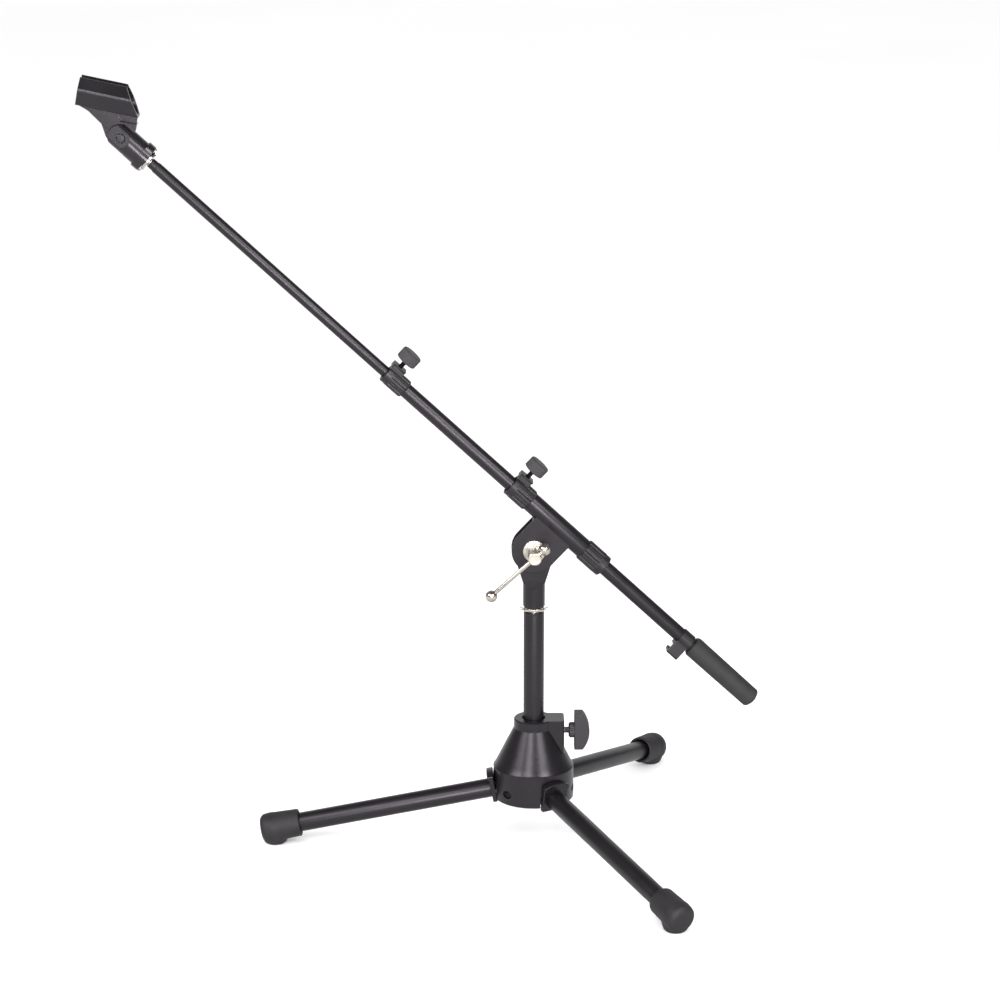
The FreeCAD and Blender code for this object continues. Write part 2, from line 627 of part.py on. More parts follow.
def make_bracket():
    """Two cheeks and a web, in the boom's frame, under the outer tube."""
    outside = SIZE["cheek_inside"] + SIZE["cheek_thickness"]
    width = "cheek_inside + cheek_inside + cheek_thickness + cheek_thickness"
    pivot = -SIZE["boom_offset"]
    round_end = cylinder("cheek_round", "cheek_radius", width, shift(pivot, -outside, 0, **ALONG_Y))
    slab = box("cheek_slab", "boom_offset - 5.0", width, "cheek_radius + cheek_radius",
               shift(pivot, -outside, -SIZE["cheek_radius"]))
    gap = box("cheek_gap", "boom_offset + cheek_radius - web_top - web_thickness",
              "cheek_inside + cheek_inside", "cheek_radius + cheek_radius + 2.0",
              shift(pivot - SIZE["cheek_radius"], -SIZE["cheek_inside"], -SIZE["cheek_radius"] - 1.0))
    over = box("web_over", "web_top", "cheek_inside + cheek_inside", "cheek_radius + cheek_radius + 2.0",
               shift(-SIZE["web_top"], -SIZE["cheek_inside"], -SIZE["cheek_radius"] - 1.0))
    tube = cylinder("bracket_tube_tool", "outer_radius", "80.0", shift(z=-40.0))
    hole = cylinder("bracket_hole", "screw_radius + run_gap", "30.0", shift(pivot, -15.0, 0, **ALONG_Y))
    bracket = cut("bracket_cut", fuse("bracket_solid", round_end, slab), gap, over, tube, hole)
    keep(bracket, "boom_bracket", boom_frame())


def make_clutch_screw():
    place = shift(z=SIZE["pivot_height"], **ALONG_MINUS_Y)
    washer = turned("washer_turned", [
        ("screw_radius + run_gap", "cheek_inside + cheek_thickness + 0.05"),
        ("washer_radius", "cheek_inside + cheek_thickness + 0.05"),
        ("washer_radius", "cheek_inside + cheek_thickness + 1.2"),
        ("8.6", "cheek_inside + cheek_thickness + 1.9"),
        ("8.6", "cheek_inside + cheek_thickness + 3.2"),
        ("screw_radius + run_gap", "cheek_inside + cheek_thickness + 3.2"),
    ])
    keep(washer, "clutch_washer", place)
    screw = turned("screw_turned", [
        ("0", "-20.5"),
        ("screw_radius - 0.6", "-20.5"),
        ("screw_radius", "-19.9"),
        ("screw_radius", "cheek_inside + cheek_thickness + 3.25"),
        ("screw_head_radius", "cheek_inside + cheek_thickness + 3.25"),
        ("screw_head_radius", "screw_head_end - 1.0"),
        ("screw_head_radius - 1.0", "screw_head_end"),
        ("0", "screw_head_end"),
    ])
    screw.Placement = place
    hole = cylinder("screw_cross_hole", "bar_radius + 0.08", "30.0", bar_place(-15.0))
    keep(cut("screw_cut", screw, hole), "clutch_screw")
    nut_flat = 17.0 / math.sqrt(3)
    nut = doc.addObject("Part::Prism", "nut_prism")
    nut.Polygon = 6
    nut.Circumradius = nut_flat
    nut.Height = 8.0
    outside = SIZE["cheek_inside"] + SIZE["cheek_thickness"]
    nut.Placement = shift(0, outside + 0.05, SIZE["pivot_height"], **ALONG_Y)
    nut_hole = cylinder("nut_hole", "screw_radius + run_gap", "12.0",
                        shift(0, outside - 1.0, SIZE["pivot_height"], **ALONG_Y))
    keep(cut("nut_cut", nut, nut_hole), "clutch_nut")


def bar_place(distance):
    """The tommy bar's frame: Z along the bar, up to the near ball, which is on the +X side."""
    slope = math.radians(SIZE["bar_angle"])
    along = Vector(math.cos(slope), 0, math.sin(slope))
    middle = Vector(0, -SIZE["bar_place"], SIZE["pivot_height"])
    turn = Rotation(Vector(0, 1, 0), 90.0 - SIZE["bar_angle"])
    return Placement(middle + along * distance, turn)


def make_tommy_bar():
    for label, distance in (("far", -SIZE["bar_long"]), ("near", SIZE["bar_short"])):
        knob = ball("ball_" + label, "ball_radius", bar_place(distance))
        bore = cylinder("ball_bore_" + label, "bar_radius", "bar_long + bar_short",
                        bar_place(-SIZE["bar_long"]))
        keep(cut("ball_cut_" + label, knob, bore), "bar_ball_" + label)
    bar = cylinder("tommy_rod", "bar_radius", "bar_long + bar_short", bar_place(-SIZE["bar_long"]))
    keep(bar, "tommy_rod")


# ---------------------------------------------------------------- boom
def screw_way(name, place, top):
    """The hole for a thumbscrew's stud: square to the boom, from its middle up."""
    return cylinder(name, "thumb_radius + 0.1", top, shift(z=place, **ALONG_X))


def make_tubes():
    frame = boom_frame()
    outer = ring("outer_ring", "outer_radius - outer_wall", "outer_radius", "outer_rear", "outer_front")
    keep(cut("outer_cut", outer, screw_way("outer_hole", SIZE["front_screw"], "12.0")),
         "outer_tube", frame)
    middle = ring("middle_ring", "middle_radius - middle_wall", "middle_radius",
                  "middle_rear", "middle_front")
    way = screw_way("middle_hole", SIZE["middle_screw"], "12.0")
    keep(cut("middle_cut", middle, way), "middle_tube", frame)
    keep(ring("thin_ring", "thin_radius - thin_wall", "thin_radius", "thin_rear", "thin_front"),
         "thin_tube", frame)
    plug = turned("thin_plug", [
        ("0", "thin_rear - 2.0"),
        ("middle_radius - middle_wall - 0.1", "thin_rear - 2.0"),
        ("middle_radius - middle_wall - 0.1", "thin_rear - 0.1"),
        ("thin_radius - thin_wall", "thin_rear - 0.1"),
        ("thin_radius - thin_wall", "thin_rear + 12.0"),
        ("0", "thin_rear + 12.0"),
    ])
    keep(plug, "thin_tube_plug", frame)
    stud = turned("mic_stud_turned", [
        ("0", "thin_front - 22.0"),
        ("thin_radius - thin_wall", "thin_front - 22.0"),
        ("thin_radius - thin_wall", "thin_front + 0.1"),
        ("thin_radius", "thin_front + 0.1"),
        ("thin_radius", "thin_front + 1.0"),
        ("mic_neck_radius", "thin_front + 1.0"),
        ("mic_neck_radius", "mic_nut - 1.2"),
        ("mic_stud_radius", "mic_nut - 1.2"),
        ("mic_stud_radius", "base_start + 16.0"),
        ("0", "base_start + 16.0"),
    ])
    keep(stud, "mic_stud", frame)


def collar_bush(name, tube, outside, start, middle, end, label, way=None):
    """A plastic bush between a tube and the sliding tube inside it, with a lip past its end."""
    body = turned(name + "_ring", [
        (tube + " + run_gap", start),
        (outside, start),
        (outside, middle),
        (outside + " - 0.3", middle),
        (outside + " - 0.3", end),
        (tube + " + run_gap", end),
    ])
    if way is not None:
        body = cut(name + "_cut", body, way)
    return keep(body, label, boom_frame())


def clamp_collar(name, tube, radius, lip, start, tube_end, end, screw, block_top, label):
    """A collar with a block for the thumbscrew on its upper side."""
    sleeve = turned(name + "_sleeve", [
        (tube, start),
        (radius + " - 1.0", start),
        (radius, start + " + 1.2"),
        (radius, end + " - 0.6"),
        (radius + " - 0.6", end),
        (lip, end),
        (lip, tube_end),
        (tube, tube_end),
    ])
    half = SIZE["block_length"] / 2
    block = box(name + "_block", block_top, "block_width", "block_length",
                shift(0, -SIZE["block_width"] / 2, SIZE[screw] - half))
    lip_bore = cylinder(name + "_lip_bore", lip, "40.0", shift(z=SIZE[screw] - 20.0))
    way = screw_way(name + "_way", SIZE[screw], "30.0")
    stop = rod(name + "_stop", tube, start + " - 1.0", tube_end)
    solid = cut(name + "_cut", fuse(name + "_solid", sleeve, block), stop, lip_bore, way)
    return keep(solid, label, boom_frame())


def nut_plate(name, block_top, screw, label):
    """A bent nickel plate on the block, threaded for the thumbscrew."""
    half = SIZE["block_length"] / 2
    top = number(block_top)
    thick = SIZE["plate_thickness"]
    cover = box(name + "_cover", "plate_thickness", "block_width + 1.0", "block_length + 0.6",
                shift(top + 0.05, -SIZE["block_width"] / 2 - 0.5, SIZE[screw] - half - 0.3))
    lip = box(name + "_lip", "plate_lip", "block_width + 1.0", "0.9",
              shift(top + thick + 0.05 - SIZE["plate_lip"], -SIZE["block_width"] / 2 - 0.5,
                    SIZE[screw] + half + 0.05))
    hole = screw_way(name + "_hole", SIZE[screw], "30.0")
    keep(cut(name, fuse(name + "_solid", cover, lip), hole), label, boom_frame())


def thumbscrew(name, tube, screw, knob, stud_label, knob_label):
    place = boom_frame().multiply(shift(z=SIZE[screw], **ALONG_X))
    stud = rod(name + "_stud", "thumb_radius", tube + " + 0.35", knob + " + 6.0")
    keep(stud, stud_label, place)
    head = turned(name + "_knob", [
        ("0", knob + " + 6.0"),
        ("thumb_radius", knob + " + 6.0"),
        ("thumb_radius", knob),
        ("knob_radius - 1.0", knob),
        ("knob_radius", knob + " + 1.0"),
        ("knob_radius", knob + " + knob_thickness - 1.4"),
        ("knob_radius - 1.2", knob + " + knob_thickness - 0.4"),
        ("knob_radius - 4.0", knob + " + knob_thickness"),
        ("0", knob + " + knob_thickness + 0.3"),
    ])
    keep(head, knob_label, place)


def make_boom_fittings():
    frame = boom_frame()
    clamp_collar("front_collar", "outer_radius + 0.05", "front_collar_radius", "outer_radius - 1.45",
                 "front_collar_start", "outer_front + 0.1", "front_collar_end", "front_screw",
                 "front_block_top", "front_collar")
    clamp_collar("middle_collar", "middle_radius + 0.05", "middle_collar_radius", "middle_radius - 0.85",
                 "middle_collar_start", "middle_front + 0.1", "middle_collar_end", "middle_screw",
                 "middle_block_top", "middle_collar")
    rear = turned("rear_collar_turned", [
        ("outer_radius + 0.05", "outer_rear - 0.1"),
        ("outer_radius - 1.45", "outer_rear - 0.1"),
        ("outer_radius - 1.45", "rear_collar_start"),
        ("front_collar_radius - 0.8", "rear_collar_start"),
        ("front_collar_radius", "rear_collar_start + 1.0"),
        ("front_collar_radius", "rear_collar_end - 1.0"),
        ("front_collar_radius - 0.8", "rear_collar_end"),
        ("outer_radius + 0.05", "rear_collar_end"),
    ])
    keep(rear, "rear_collar", frame)
    inner_wall = "outer_radius - outer_wall"
    collar_bush("front_bush", "middle_radius", inner_wall, "outer_front - 22.0", "outer_front",
                "front_collar_end - 1.8", "front_bush",
                screw_way("front_bush_hole", SIZE["front_screw"], "12.0"))
    rear_bush = ring("rear_bush_ring", "middle_radius + run_gap", "outer_radius - 1.5",
                     "rear_collar_start + 1.6", "outer_rear + 16.0")
    keep(rear_bush, "rear_bush", frame)
    collar_bush("middle_bush", "thin_radius", "middle_radius - middle_wall", "middle_front - 20.0",
                "middle_front", "middle_collar_end - 1.6", "middle_bush",
                screw_way("middle_bush_hole", SIZE["middle_screw"], "12.0"))
    nut_plate("front_plate", "front_block_top", "front_screw", "front_nut_plate")
    nut_plate("middle_plate", "middle_block_top", "middle_screw", "middle_nut_plate")
    thumbscrew("front_thumb", "middle_radius", "front_screw", "front_knob",
               "front_screw_stud", "front_screw_knob")
    thumbscrew("middle_thumb", "thin_radius", "middle_screw", "middle_knob",
               "middle_screw_stud", "middle_screw_knob")


def make_tail():
    frame = boom_frame()
    grip = turned("grip_turned", [
        ("middle_radius + 0.05", "grip_front"),
        ("grip_front_radius - 1.6", "grip_front"),
        ("grip_front_radius", "grip_front - 2.4"),
        ("grip_rear_radius", "grip_rear + 0.6"),
        ("grip_rear_radius - 1.2", "grip_rear"),
        ("5.0", "grip_rear - 3.2"),
        ("0", "0 - grip_dome"),
        ("0", "middle_rear - 0.1"),
        ("middle_radius + 0.05", "middle_rear - 0.1"),
    ])
    keep(grip, "rubber_grip", frame)
    core = rod("weight_core", "middle_radius - middle_wall - 0.05", "middle_rear + 2.0", "grip_front - 6.0")
    keep(core, "counterweight_core", frame)
    make_cable_clip(frame)


def make_cable_clip(frame):
    """A band round the tube, and a hook below it that is open to one side."""
    length = "clip_front - clip_rear"
    start = SIZE["clip_rear"]
    band = cylinder("clip_band", "middle_radius + 1.2", length, shift(z=start))
    hook = box("clip_hook", "clip_drop - 4.0", "clip_width", length,
               shift(-SIZE["clip_drop"], -SIZE["clip_width"] / 2, start))
    tube = cylinder("clip_tube_tool", "middle_radius + run_gap", "40.0", shift(z=start - 10.0))
    drop = SIZE["cord_way_drop"]
    cord_way = cylinder("clip_cord_tool", "cord_way_radius", "40.0", shift(-drop, 0.4, start - 10.0))
    mouth = box("clip_mouth", "cord_mouth", "10.0", "40.0",
                shift(-drop - SIZE["cord_mouth"] / 2, 0.4, start - 10.0))
    keep(cut("clip_cut", fuse("clip_solid", band, hook), tube, cord_way, mouth), "cable_clip", frame)


# ---------------------------------------------------------------- microphone end
def make_clip_base():
    frame = boom_frame()
    turned_part = turned("base_turned", [
        ("0", "base_start"),
        ("base_flange_radius - 0.6", "base_start"),
        ("base_flange_radius", "base_start + 0.6"),
        ("base_flange_radius", "base_flange_end - 0.8"),
        ("base_flange_radius - 0.8", "base_flange_end"),
        ("base_radius", "base_flange_end"),
        ("base_radius", "clip_pivot - 9.0"),
        ("0", "clip_pivot - 9.0"),
    ])
    half = SIZE["fork_width"] / 2
    round_end = cylinder("fork_round", "fork_radius", "fork_width",
                         shift(0, -half, SIZE["clip_pivot"], **ALONG_Y))
    root = box("fork_root", "base_radius + base_radius", "fork_width", "12.0",
               shift(-SIZE["base_radius"], -half, SIZE["clip_pivot"] - 12.0))
    slot = box("fork_gap", "60.0", "fork_slot", "fork_depth + 30.0",
               shift(-30.0, -SIZE["fork_slot"] / 2, SIZE["clip_pivot"] - SIZE["fork_depth"]))
    insert_way = rod("fork_insert_tool", "8.0", "base_start - 1.0", "base_start + 17.0")
    screw_hole = cylinder("fork_hole", "clip_screw + 0.05", "40.0",
                          shift(0, -20.0, SIZE["clip_pivot"], **ALONG_Y))
    solid = fuse("base_solid", turned_part, round_end, root)
    keep(cut("base_cut", solid, slot, insert_way, screw_hole), "clip_base", frame)
    insert = ring("insert_ring", "mic_stud_radius + run_gap", "8.0", "base_start + 0.3", "base_start + 16.8")
    keep(insert, "thread_insert", frame)
    pivot = frame.multiply(shift(z=SIZE["clip_pivot"], **ALONG_MINUS_Y))
    screw = turned("pivot_screw_turned", [
        ("0", "-14.4"),
        ("clip_screw", "-14.4"),
        ("clip_screw", "fork_width - 10.95"),
        ("4.7", "fork_width - 10.95"),
        ("4.7", "fork_width - 9.9"),
        ("3.6", "fork_width - 9.4"),
        ("0", "fork_width - 9.2"),
    ])
    keep(screw, "clip_pivot_screw", pivot)
    nut = doc.addObject("Part::Prism", "pivot_nut_prism")
    nut.Polygon = 6
    nut.Circumradius = 8.0 / math.sqrt(3)
    nut.Height = 3.2
    nut.Placement = shift(z=-14.25)
    nut_hole = cylinder("pivot_nut_hole", "clip_screw + 0.03", "10.0", shift(z=-17.0))
    keep(cut("pivot_nut_cut", nut, nut_hole), "clip_pivot_nut", pivot)


def make_mic_clip():
    """The clip's shell along its own X, over the neck and the tongue, origin on its pivot."""
    slope = SIZE["shell_slope"]
    middle = SIZE["shell_middle"]
    pivot = boom_frame().multVec(Vector(0, 0, SIZE["clip_pivot"]))
    place = Placement(pivot, Rotation(Vector(0, 1, 0), slope))
    section = plate("shell_section", "YZ_Plane", [
        ("0 - shell_lip", "shell_middle + shell_top"),
        ("0 - shell_width + 17.2", "shell_middle"),
        ("0 - shell_floor", "shell_middle - shell_bottom"),
        ("shell_floor", "shell_middle - shell_bottom"),
        ("shell_width - 17.2", "shell_middle"),
        ("shell_lip", "shell_middle + shell_top"),
    ], "200.0")
    side = plate("shell_side", "XZ_Plane", [
        ("shell_rear", "shell_middle - shell_bottom - 1.0"),
        ("shell_bottom_end", "shell_middle - shell_bottom - 1.0"),
        ("shell_top_end", "shell_middle + shell_top"),
        ("shell_rear + 3.8", "shell_middle + shell_top"),
        ("shell_rear", "shell_middle + shell_top - 3.4"),
    ], "100.0")
    shell = common("shell_block", section, side)
    neck = plate("neck_web", "XZ_Plane", [
        ("shell_rear + 2.0", "shell_middle - shell_bottom + 0.6"),
        ("-40.0", "20.5"),
        ("-28.5", "15.0"),
        ("-20.5", "6.5"),
        ("-16.5", "-3.0"),
        ("-11.9", "-4.4"),
        ("11.6", "-5.0"),
        ("12.3", "3.0"),
        ("13.2", "12.0"),
        ("13.0", "shell_middle - shell_bottom + 0.6"),
    ], "clip_tongue_width")
    wide = plate("neck_wide", "XZ_Plane", [
        ("shell_rear + 2.0", "shell_middle - shell_bottom + 0.6"),
        ("-40.0", "20.5"),
        ("-28.5", "15.0"),
        ("-19.0", "5.0"),
        ("10.0", "8.0"),
        ("13.2", "12.0"),
        ("13.0", "shell_middle - shell_bottom + 0.6"),
    ], "clip_tongue_width + 7.0")
    around = cylinder("neck_wide_tool", "fork_radius + 0.6", "60.0", shift(0, -30.0, 0, **ALONG_Y))
    tongue = cylinder("clip_tongue_round", "clip_tongue", "clip_tongue_width",
                      shift(0, -SIZE["clip_tongue_width"] / 2, 0, **ALONG_Y))
    # The clip's base as it lies against the neck when the clip is tilted right down.
    lowest = Rotation(Vector(0, 1, 0), SIZE["boom_angle"] - 90.0 - slope - SIZE["clip_nod"])
    base_way = box("neck_base_way", "base_radius + base_radius + 1.0", "60.0", "60.0",
                   Placement(Vector(), lowest).multiply(shift(-SIZE["base_radius"] - 0.5, -30.0, -60.0)))
    solid = fuse("clip_all", shell, neck, cut("neck_wide_cut", wide, around, base_way), tongue)
    bore = cylinder("shell_bore_tool", "shell_bore", "120.0", shift(-80.0, 0, middle, **ALONG_X))
    mouth = box("shell_mouth", "120.0", "shell_opening", "40.0",
                shift(-80.0, -SIZE["shell_opening"] / 2, middle))
    hole = cylinder("clip_hole", "clip_screw + run_gap", "30.0", shift(0, -15.0, 0, **ALONG_Y))
    keep(cut("mic_clip_cut", solid, bore, mouth, hole), "mic_clip", place)


make_hub()
make_bore_parts()
make_wing_screw()
make_legs()
make_column()
lock_nut("column_nut", "stud_radius + run_gap", "nut_bottom", "column_lock_nut")
make_socket()
make_bracket()
make_clutch_screw()
make_tommy_bar()
make_tubes()
make_boom_fittings()
make_tail()
lock_nut("mic_nut_part", "mic_stud_radius + 0.1", "mic_nut - 0.8", "mic_lock_nut", boom_frame())
make_clip_base()
make_mic_clip()

doc.recompute()
for obj in doc.Objects:
    if "Invalid" in obj.State or "Error" in obj.State:
        raise SystemExit("failed: %s %s" % (obj.Name, obj.State))

os.makedirs("parts", exist_ok=True)
for obj in subparts:
    shape = obj.Shape
    if shape.isNull() or not shape.isValid() or not shape.Solids:
        raise SystemExit("bad shape: " + obj.Label)
    shape.exportStep("parts/%s.step" % obj.Label)
    print("%-22s solids %d volume %10.1f" % (obj.Label, len(shape.Solids), shape.Volume))
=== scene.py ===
"""Looks of the boom microphone stand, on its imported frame.

Every piece is made in millimetres in a local frame (the boom's, a leg's, the clutch
screw's ...) and then put in its place. Sizes come from the CAD nodes through reach().
"""
import json
import math

import bmesh
import bpy
from mathutils import Matrix, Vector


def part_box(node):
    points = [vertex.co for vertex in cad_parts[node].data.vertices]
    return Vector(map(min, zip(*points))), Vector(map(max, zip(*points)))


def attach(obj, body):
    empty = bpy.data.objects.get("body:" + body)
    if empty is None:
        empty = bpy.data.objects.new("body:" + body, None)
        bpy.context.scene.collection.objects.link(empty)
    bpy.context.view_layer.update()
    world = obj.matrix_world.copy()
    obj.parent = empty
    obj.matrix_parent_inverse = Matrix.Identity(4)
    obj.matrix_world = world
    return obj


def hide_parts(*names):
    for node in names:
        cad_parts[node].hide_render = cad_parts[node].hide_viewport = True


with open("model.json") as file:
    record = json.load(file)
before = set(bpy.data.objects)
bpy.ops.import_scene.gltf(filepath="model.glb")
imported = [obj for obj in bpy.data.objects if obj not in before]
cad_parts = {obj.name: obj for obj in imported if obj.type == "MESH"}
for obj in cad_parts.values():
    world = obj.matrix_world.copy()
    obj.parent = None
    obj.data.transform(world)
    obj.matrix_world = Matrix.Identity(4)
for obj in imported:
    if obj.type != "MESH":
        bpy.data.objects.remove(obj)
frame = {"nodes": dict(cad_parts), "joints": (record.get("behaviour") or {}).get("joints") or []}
scene = bpy.context.scene
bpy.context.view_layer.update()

MM = 0.001
SHARP = math.radians(32)
TAU = 2 * math.pi
# A floor pad's distance from the column's axis, in metres.
PAD_PLACE = 0.282
# Puts an outline of (x, y) in the XZ plane, so that a prism's Z runs along -Y.
ON_XZ = Matrix(((1, 0, 0, 0), (0, 0, -1, 0), (0, 1, 0, 0), (0, 0, 0, 1)))


# ---------------------------------------------------------------- frames
def frame_of(origin, across, along):
    """A local frame: Z along, X as near across as can be."""
    z = Vector(along).normalized()
    x = Vector(across)
    x = (x - z * x.dot(z)).normalized()
    y = z.cross(x)
    turn = Matrix((x, y, z)).transposed().to_4x4()
    return Matrix.Translation(origin) @ turn


def turn(angle, axis):
    return Matrix.Rotation(math.radians(angle), 4, axis)


def reach(node, place):
    """Lowest and highest corners of a CAD node in a local frame, in mm."""
    back = place.inverted()
    points = [back @ v.co for v in frame["nodes"][node].data.vertices]
    low = [min(p[i] for p in points) / MM for i in range(3)]
    high = [max(p[i] for p in points) / MM for i in range(3)]
    return low, high


JOINTS = {joint["name"]: joint for joint in frame["joints"]}


def joint_place(name):
    return Vector(JOINTS[name]["pos_m"])


def joint_axis(name):
    return Vector(JOINTS[name]["axis"])


def pad_point(index):
    """Where a leg's foot pad stands on the floor."""
    pivot = joint_place("leg_fold_%d" % index)
    return Vector((pivot.x, pivot.y, 0)).normalized() * PAD_PLACE


PIVOT = joint_place("boom_tilt")
BOOM_WAY = joint_axis("boom_length").normalized()
BOOM_UP = joint_axis("front_screw_turn").normalized()
on_boom = joint_place("mic_nut_turn")
BOOM_FOOT = on_boom + BOOM_WAY * (PIVOT - on_boom).dot(BOOM_WAY)
BOOM = frame_of(BOOM_FOOT, BOOM_UP, BOOM_WAY)
UPRIGHT = Matrix.Identity(4)
CLUTCH = frame_of(PIVOT, (1, 0, 0), (0, -1, 0))
CLIP_SLOPE = 12.0
CLIP = Matrix.Translation(joint_place("clip_tilt")) @ turn(CLIP_SLOPE, "Y")
CLIP_PIVOT = frame_of(joint_place("clip_tilt"), BOOM_UP, (0, -1, 0))
WING = frame_of((0, 0, joint_place("wing_turn").z), (0, 0, 1), (1, 0, 0))


def leg_frame(index):
    """X across the leg to its left, Y up from it, Z outward along its tube."""
    pivot = joint_place("leg_fold_%d" % index)
    low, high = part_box("leg_tube_%d" % index)
    outward = (low + high) / 2 - pivot
    return frame_of(pivot, Vector((0, 0, 1)).cross(outward), outward)


def screw_frame(name):
    """A thumbscrew's frame: Z out of the boom, origin on the boom's axis."""
    place = (joint_place(name) - BOOM_FOOT).dot(BOOM_WAY)
    return frame_of(BOOM_FOOT + BOOM_WAY * place, BOOM_WAY, BOOM_UP)


def bar_frame():
    along = joint_axis("tommy_bar_slide").normalized()
    low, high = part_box("tommy_rod")
    middle = (low + high) / 2
    foot = middle + along * (PIVOT - middle).dot(along)
    return frame_of(foot, (0, -1, 0), along)


# ---------------------------------------------------------------- materials
class Nodes:
    """A short way to add shader nodes and join them."""

    def __init__(self, name):
        self.material = bpy.data.materials.new(name)
        self.material.use_nodes = True
        self.tree = self.material.node_tree
        self.shader = self.tree.nodes["Principled BSDF"]
        coordinates = self.tree.nodes.new("ShaderNodeTexCoord")
        self.place = coordinates.outputs["Object"]

    def add(self, kind, inputs=(), **settings):
        node = self.tree.nodes.new(kind)
        for key, value in settings.items():
            setattr(node, key, value)
        for key, value in dict(inputs).items():
            if isinstance(value, bpy.types.NodeSocket):
                self.tree.links.new(value, node.inputs[key])
            else:
                node.inputs[key].default_value = value
        return node

    def link(self, output, key):
        self.tree.links.new(output, self.shader.inputs[key])

    def noise(self, size, detail=3.0, stretch=None, rough=0.55):
        """Noise whose bumps are about size mm across, drawn out along Z if stretch is given."""
        place = self.place
        if stretch:
            mapping = self.add("ShaderNodeMapping", {"Vector": place, "Scale": (1, 1, 1 / stretch)})
            place = mapping.outputs["Vector"]
        node = self.add(
            "ShaderNodeTexNoise",
            {"Vector": place, "Scale": 1 / (size * MM), "Detail": detail, "Roughness": rough},
        )
        return node.outputs["Fac"]

    def span(self, value, low, high, start=0.3, end=0.7):
        node = self.add(
            "ShaderNodeMapRange",
            {"Value": value, "From Min": start, "From Max": end, "To Min": low, "To Max": high},
        )
        return node.outputs["Result"]

    def sum(self, first, second, share):
        node = self.add(
            "ShaderNodeMath", {0: second, 1: share, 2: first}, operation="MULTIPLY_ADD"
        )
        return node.outputs[0]

    def bump(self, height, depth, strength=1.0):
        node = self.add(
            "ShaderNodeBump", {"Height": height, "Distance": depth * MM, "Strength": strength}
        )
        self.link(node.outputs["Normal"], "Normal")

    def tones(self, value, dark, light):
        node = self.add("ShaderNodeValToRGB", {"Fac": value})
        node.color_ramp.elements[0].position = 0.3
        node.color_ramp.elements[0].color = (*dark, 1)
        node.color_ramp.elements[1].position = 0.7
        node.color_ramp.elements[1].color = (*light, 1)
        self.link(node.outputs["Color"], "Base Color")
        return node


def scaled(colour, factor):
    return tuple(channel * factor for channel in colour)


def painted(name, colour, rough, grain, depth, peel=0.0, specular=0.5, variation=0.1):
    """Powder coat, paint or moulded plastic: a fine grain over a slower unevenness."""
    nodes = Nodes(name)
    fine = nodes.noise(grain, detail=4.0)
    slow = nodes.noise(grain * 9, detail=2.0)
    patch = nodes.noise(38.0, detail=3.0)
    nodes.tones(patch, scaled(colour, 1 - variation), scaled(colour, 1 + variation))
    nodes.link(nodes.span(nodes.sum(patch, fine, 0.35), rough - 0.05, rough + 0.06, 0.4, 0.95), "Roughness")
    nodes.bump(nodes.sum(fine, slow, peel), depth)
    nodes.shader.inputs["Specular IOR Level"].default_value = specular
    nodes.shader.inputs["Specular Tint"].default_value = (0.98, 0.91, 1.0, 1)
    return nodes.material


def rubber(name, colour, rough, grain, depth):
    """Matte rubber with pits and a little bloom on it."""
    nodes = Nodes(name)
    cells = nodes.add(
        "ShaderNodeTexVoronoi", {"Vector": nodes.place, "Scale": 1 / (grain * MM)}
    ).outputs["Distance"]
    fine = nodes.noise(grain * 0.7, detail=3.0)
    bloom = nodes.noise(16.0, detail=5.0, rough=0.65)
    nodes.tones(bloom, scaled(colour, 0.82), scaled(colour, 1.22))
    nodes.link(nodes.span(bloom, rough - 0.05, rough + 0.08), "Roughness")
    nodes.bump(nodes.sum(fine, cells, 0.8), depth)
    nodes.shader.inputs["Specular IOR Level"].default_value = 0.35
    return nodes.material


def metal(name, colour, rough, scratch=0.006, stain=0.05, brushed=5.0):
    """Plated or plain metal: fine marks drawn along Z, slow stains, a trace of smears."""
    nodes = Nodes(name)
    marks = nodes.noise(0.35, detail=4.0, stretch=brushed)
    slow = nodes.noise(7.0, detail=3.0)
    nodes.tones(slow, scaled(colour, 1 - stain), scaled(colour, 1 + stain * 0.5))
    nodes.link(nodes.span(nodes.sum(slow, marks, 0.5), rough * 0.7, rough * 1.5, 0.5, 1.0), "Roughness")
    nodes.bump(marks, scratch)
    nodes.shader.inputs["Metallic"].default_value = 1.0
    return nodes.material


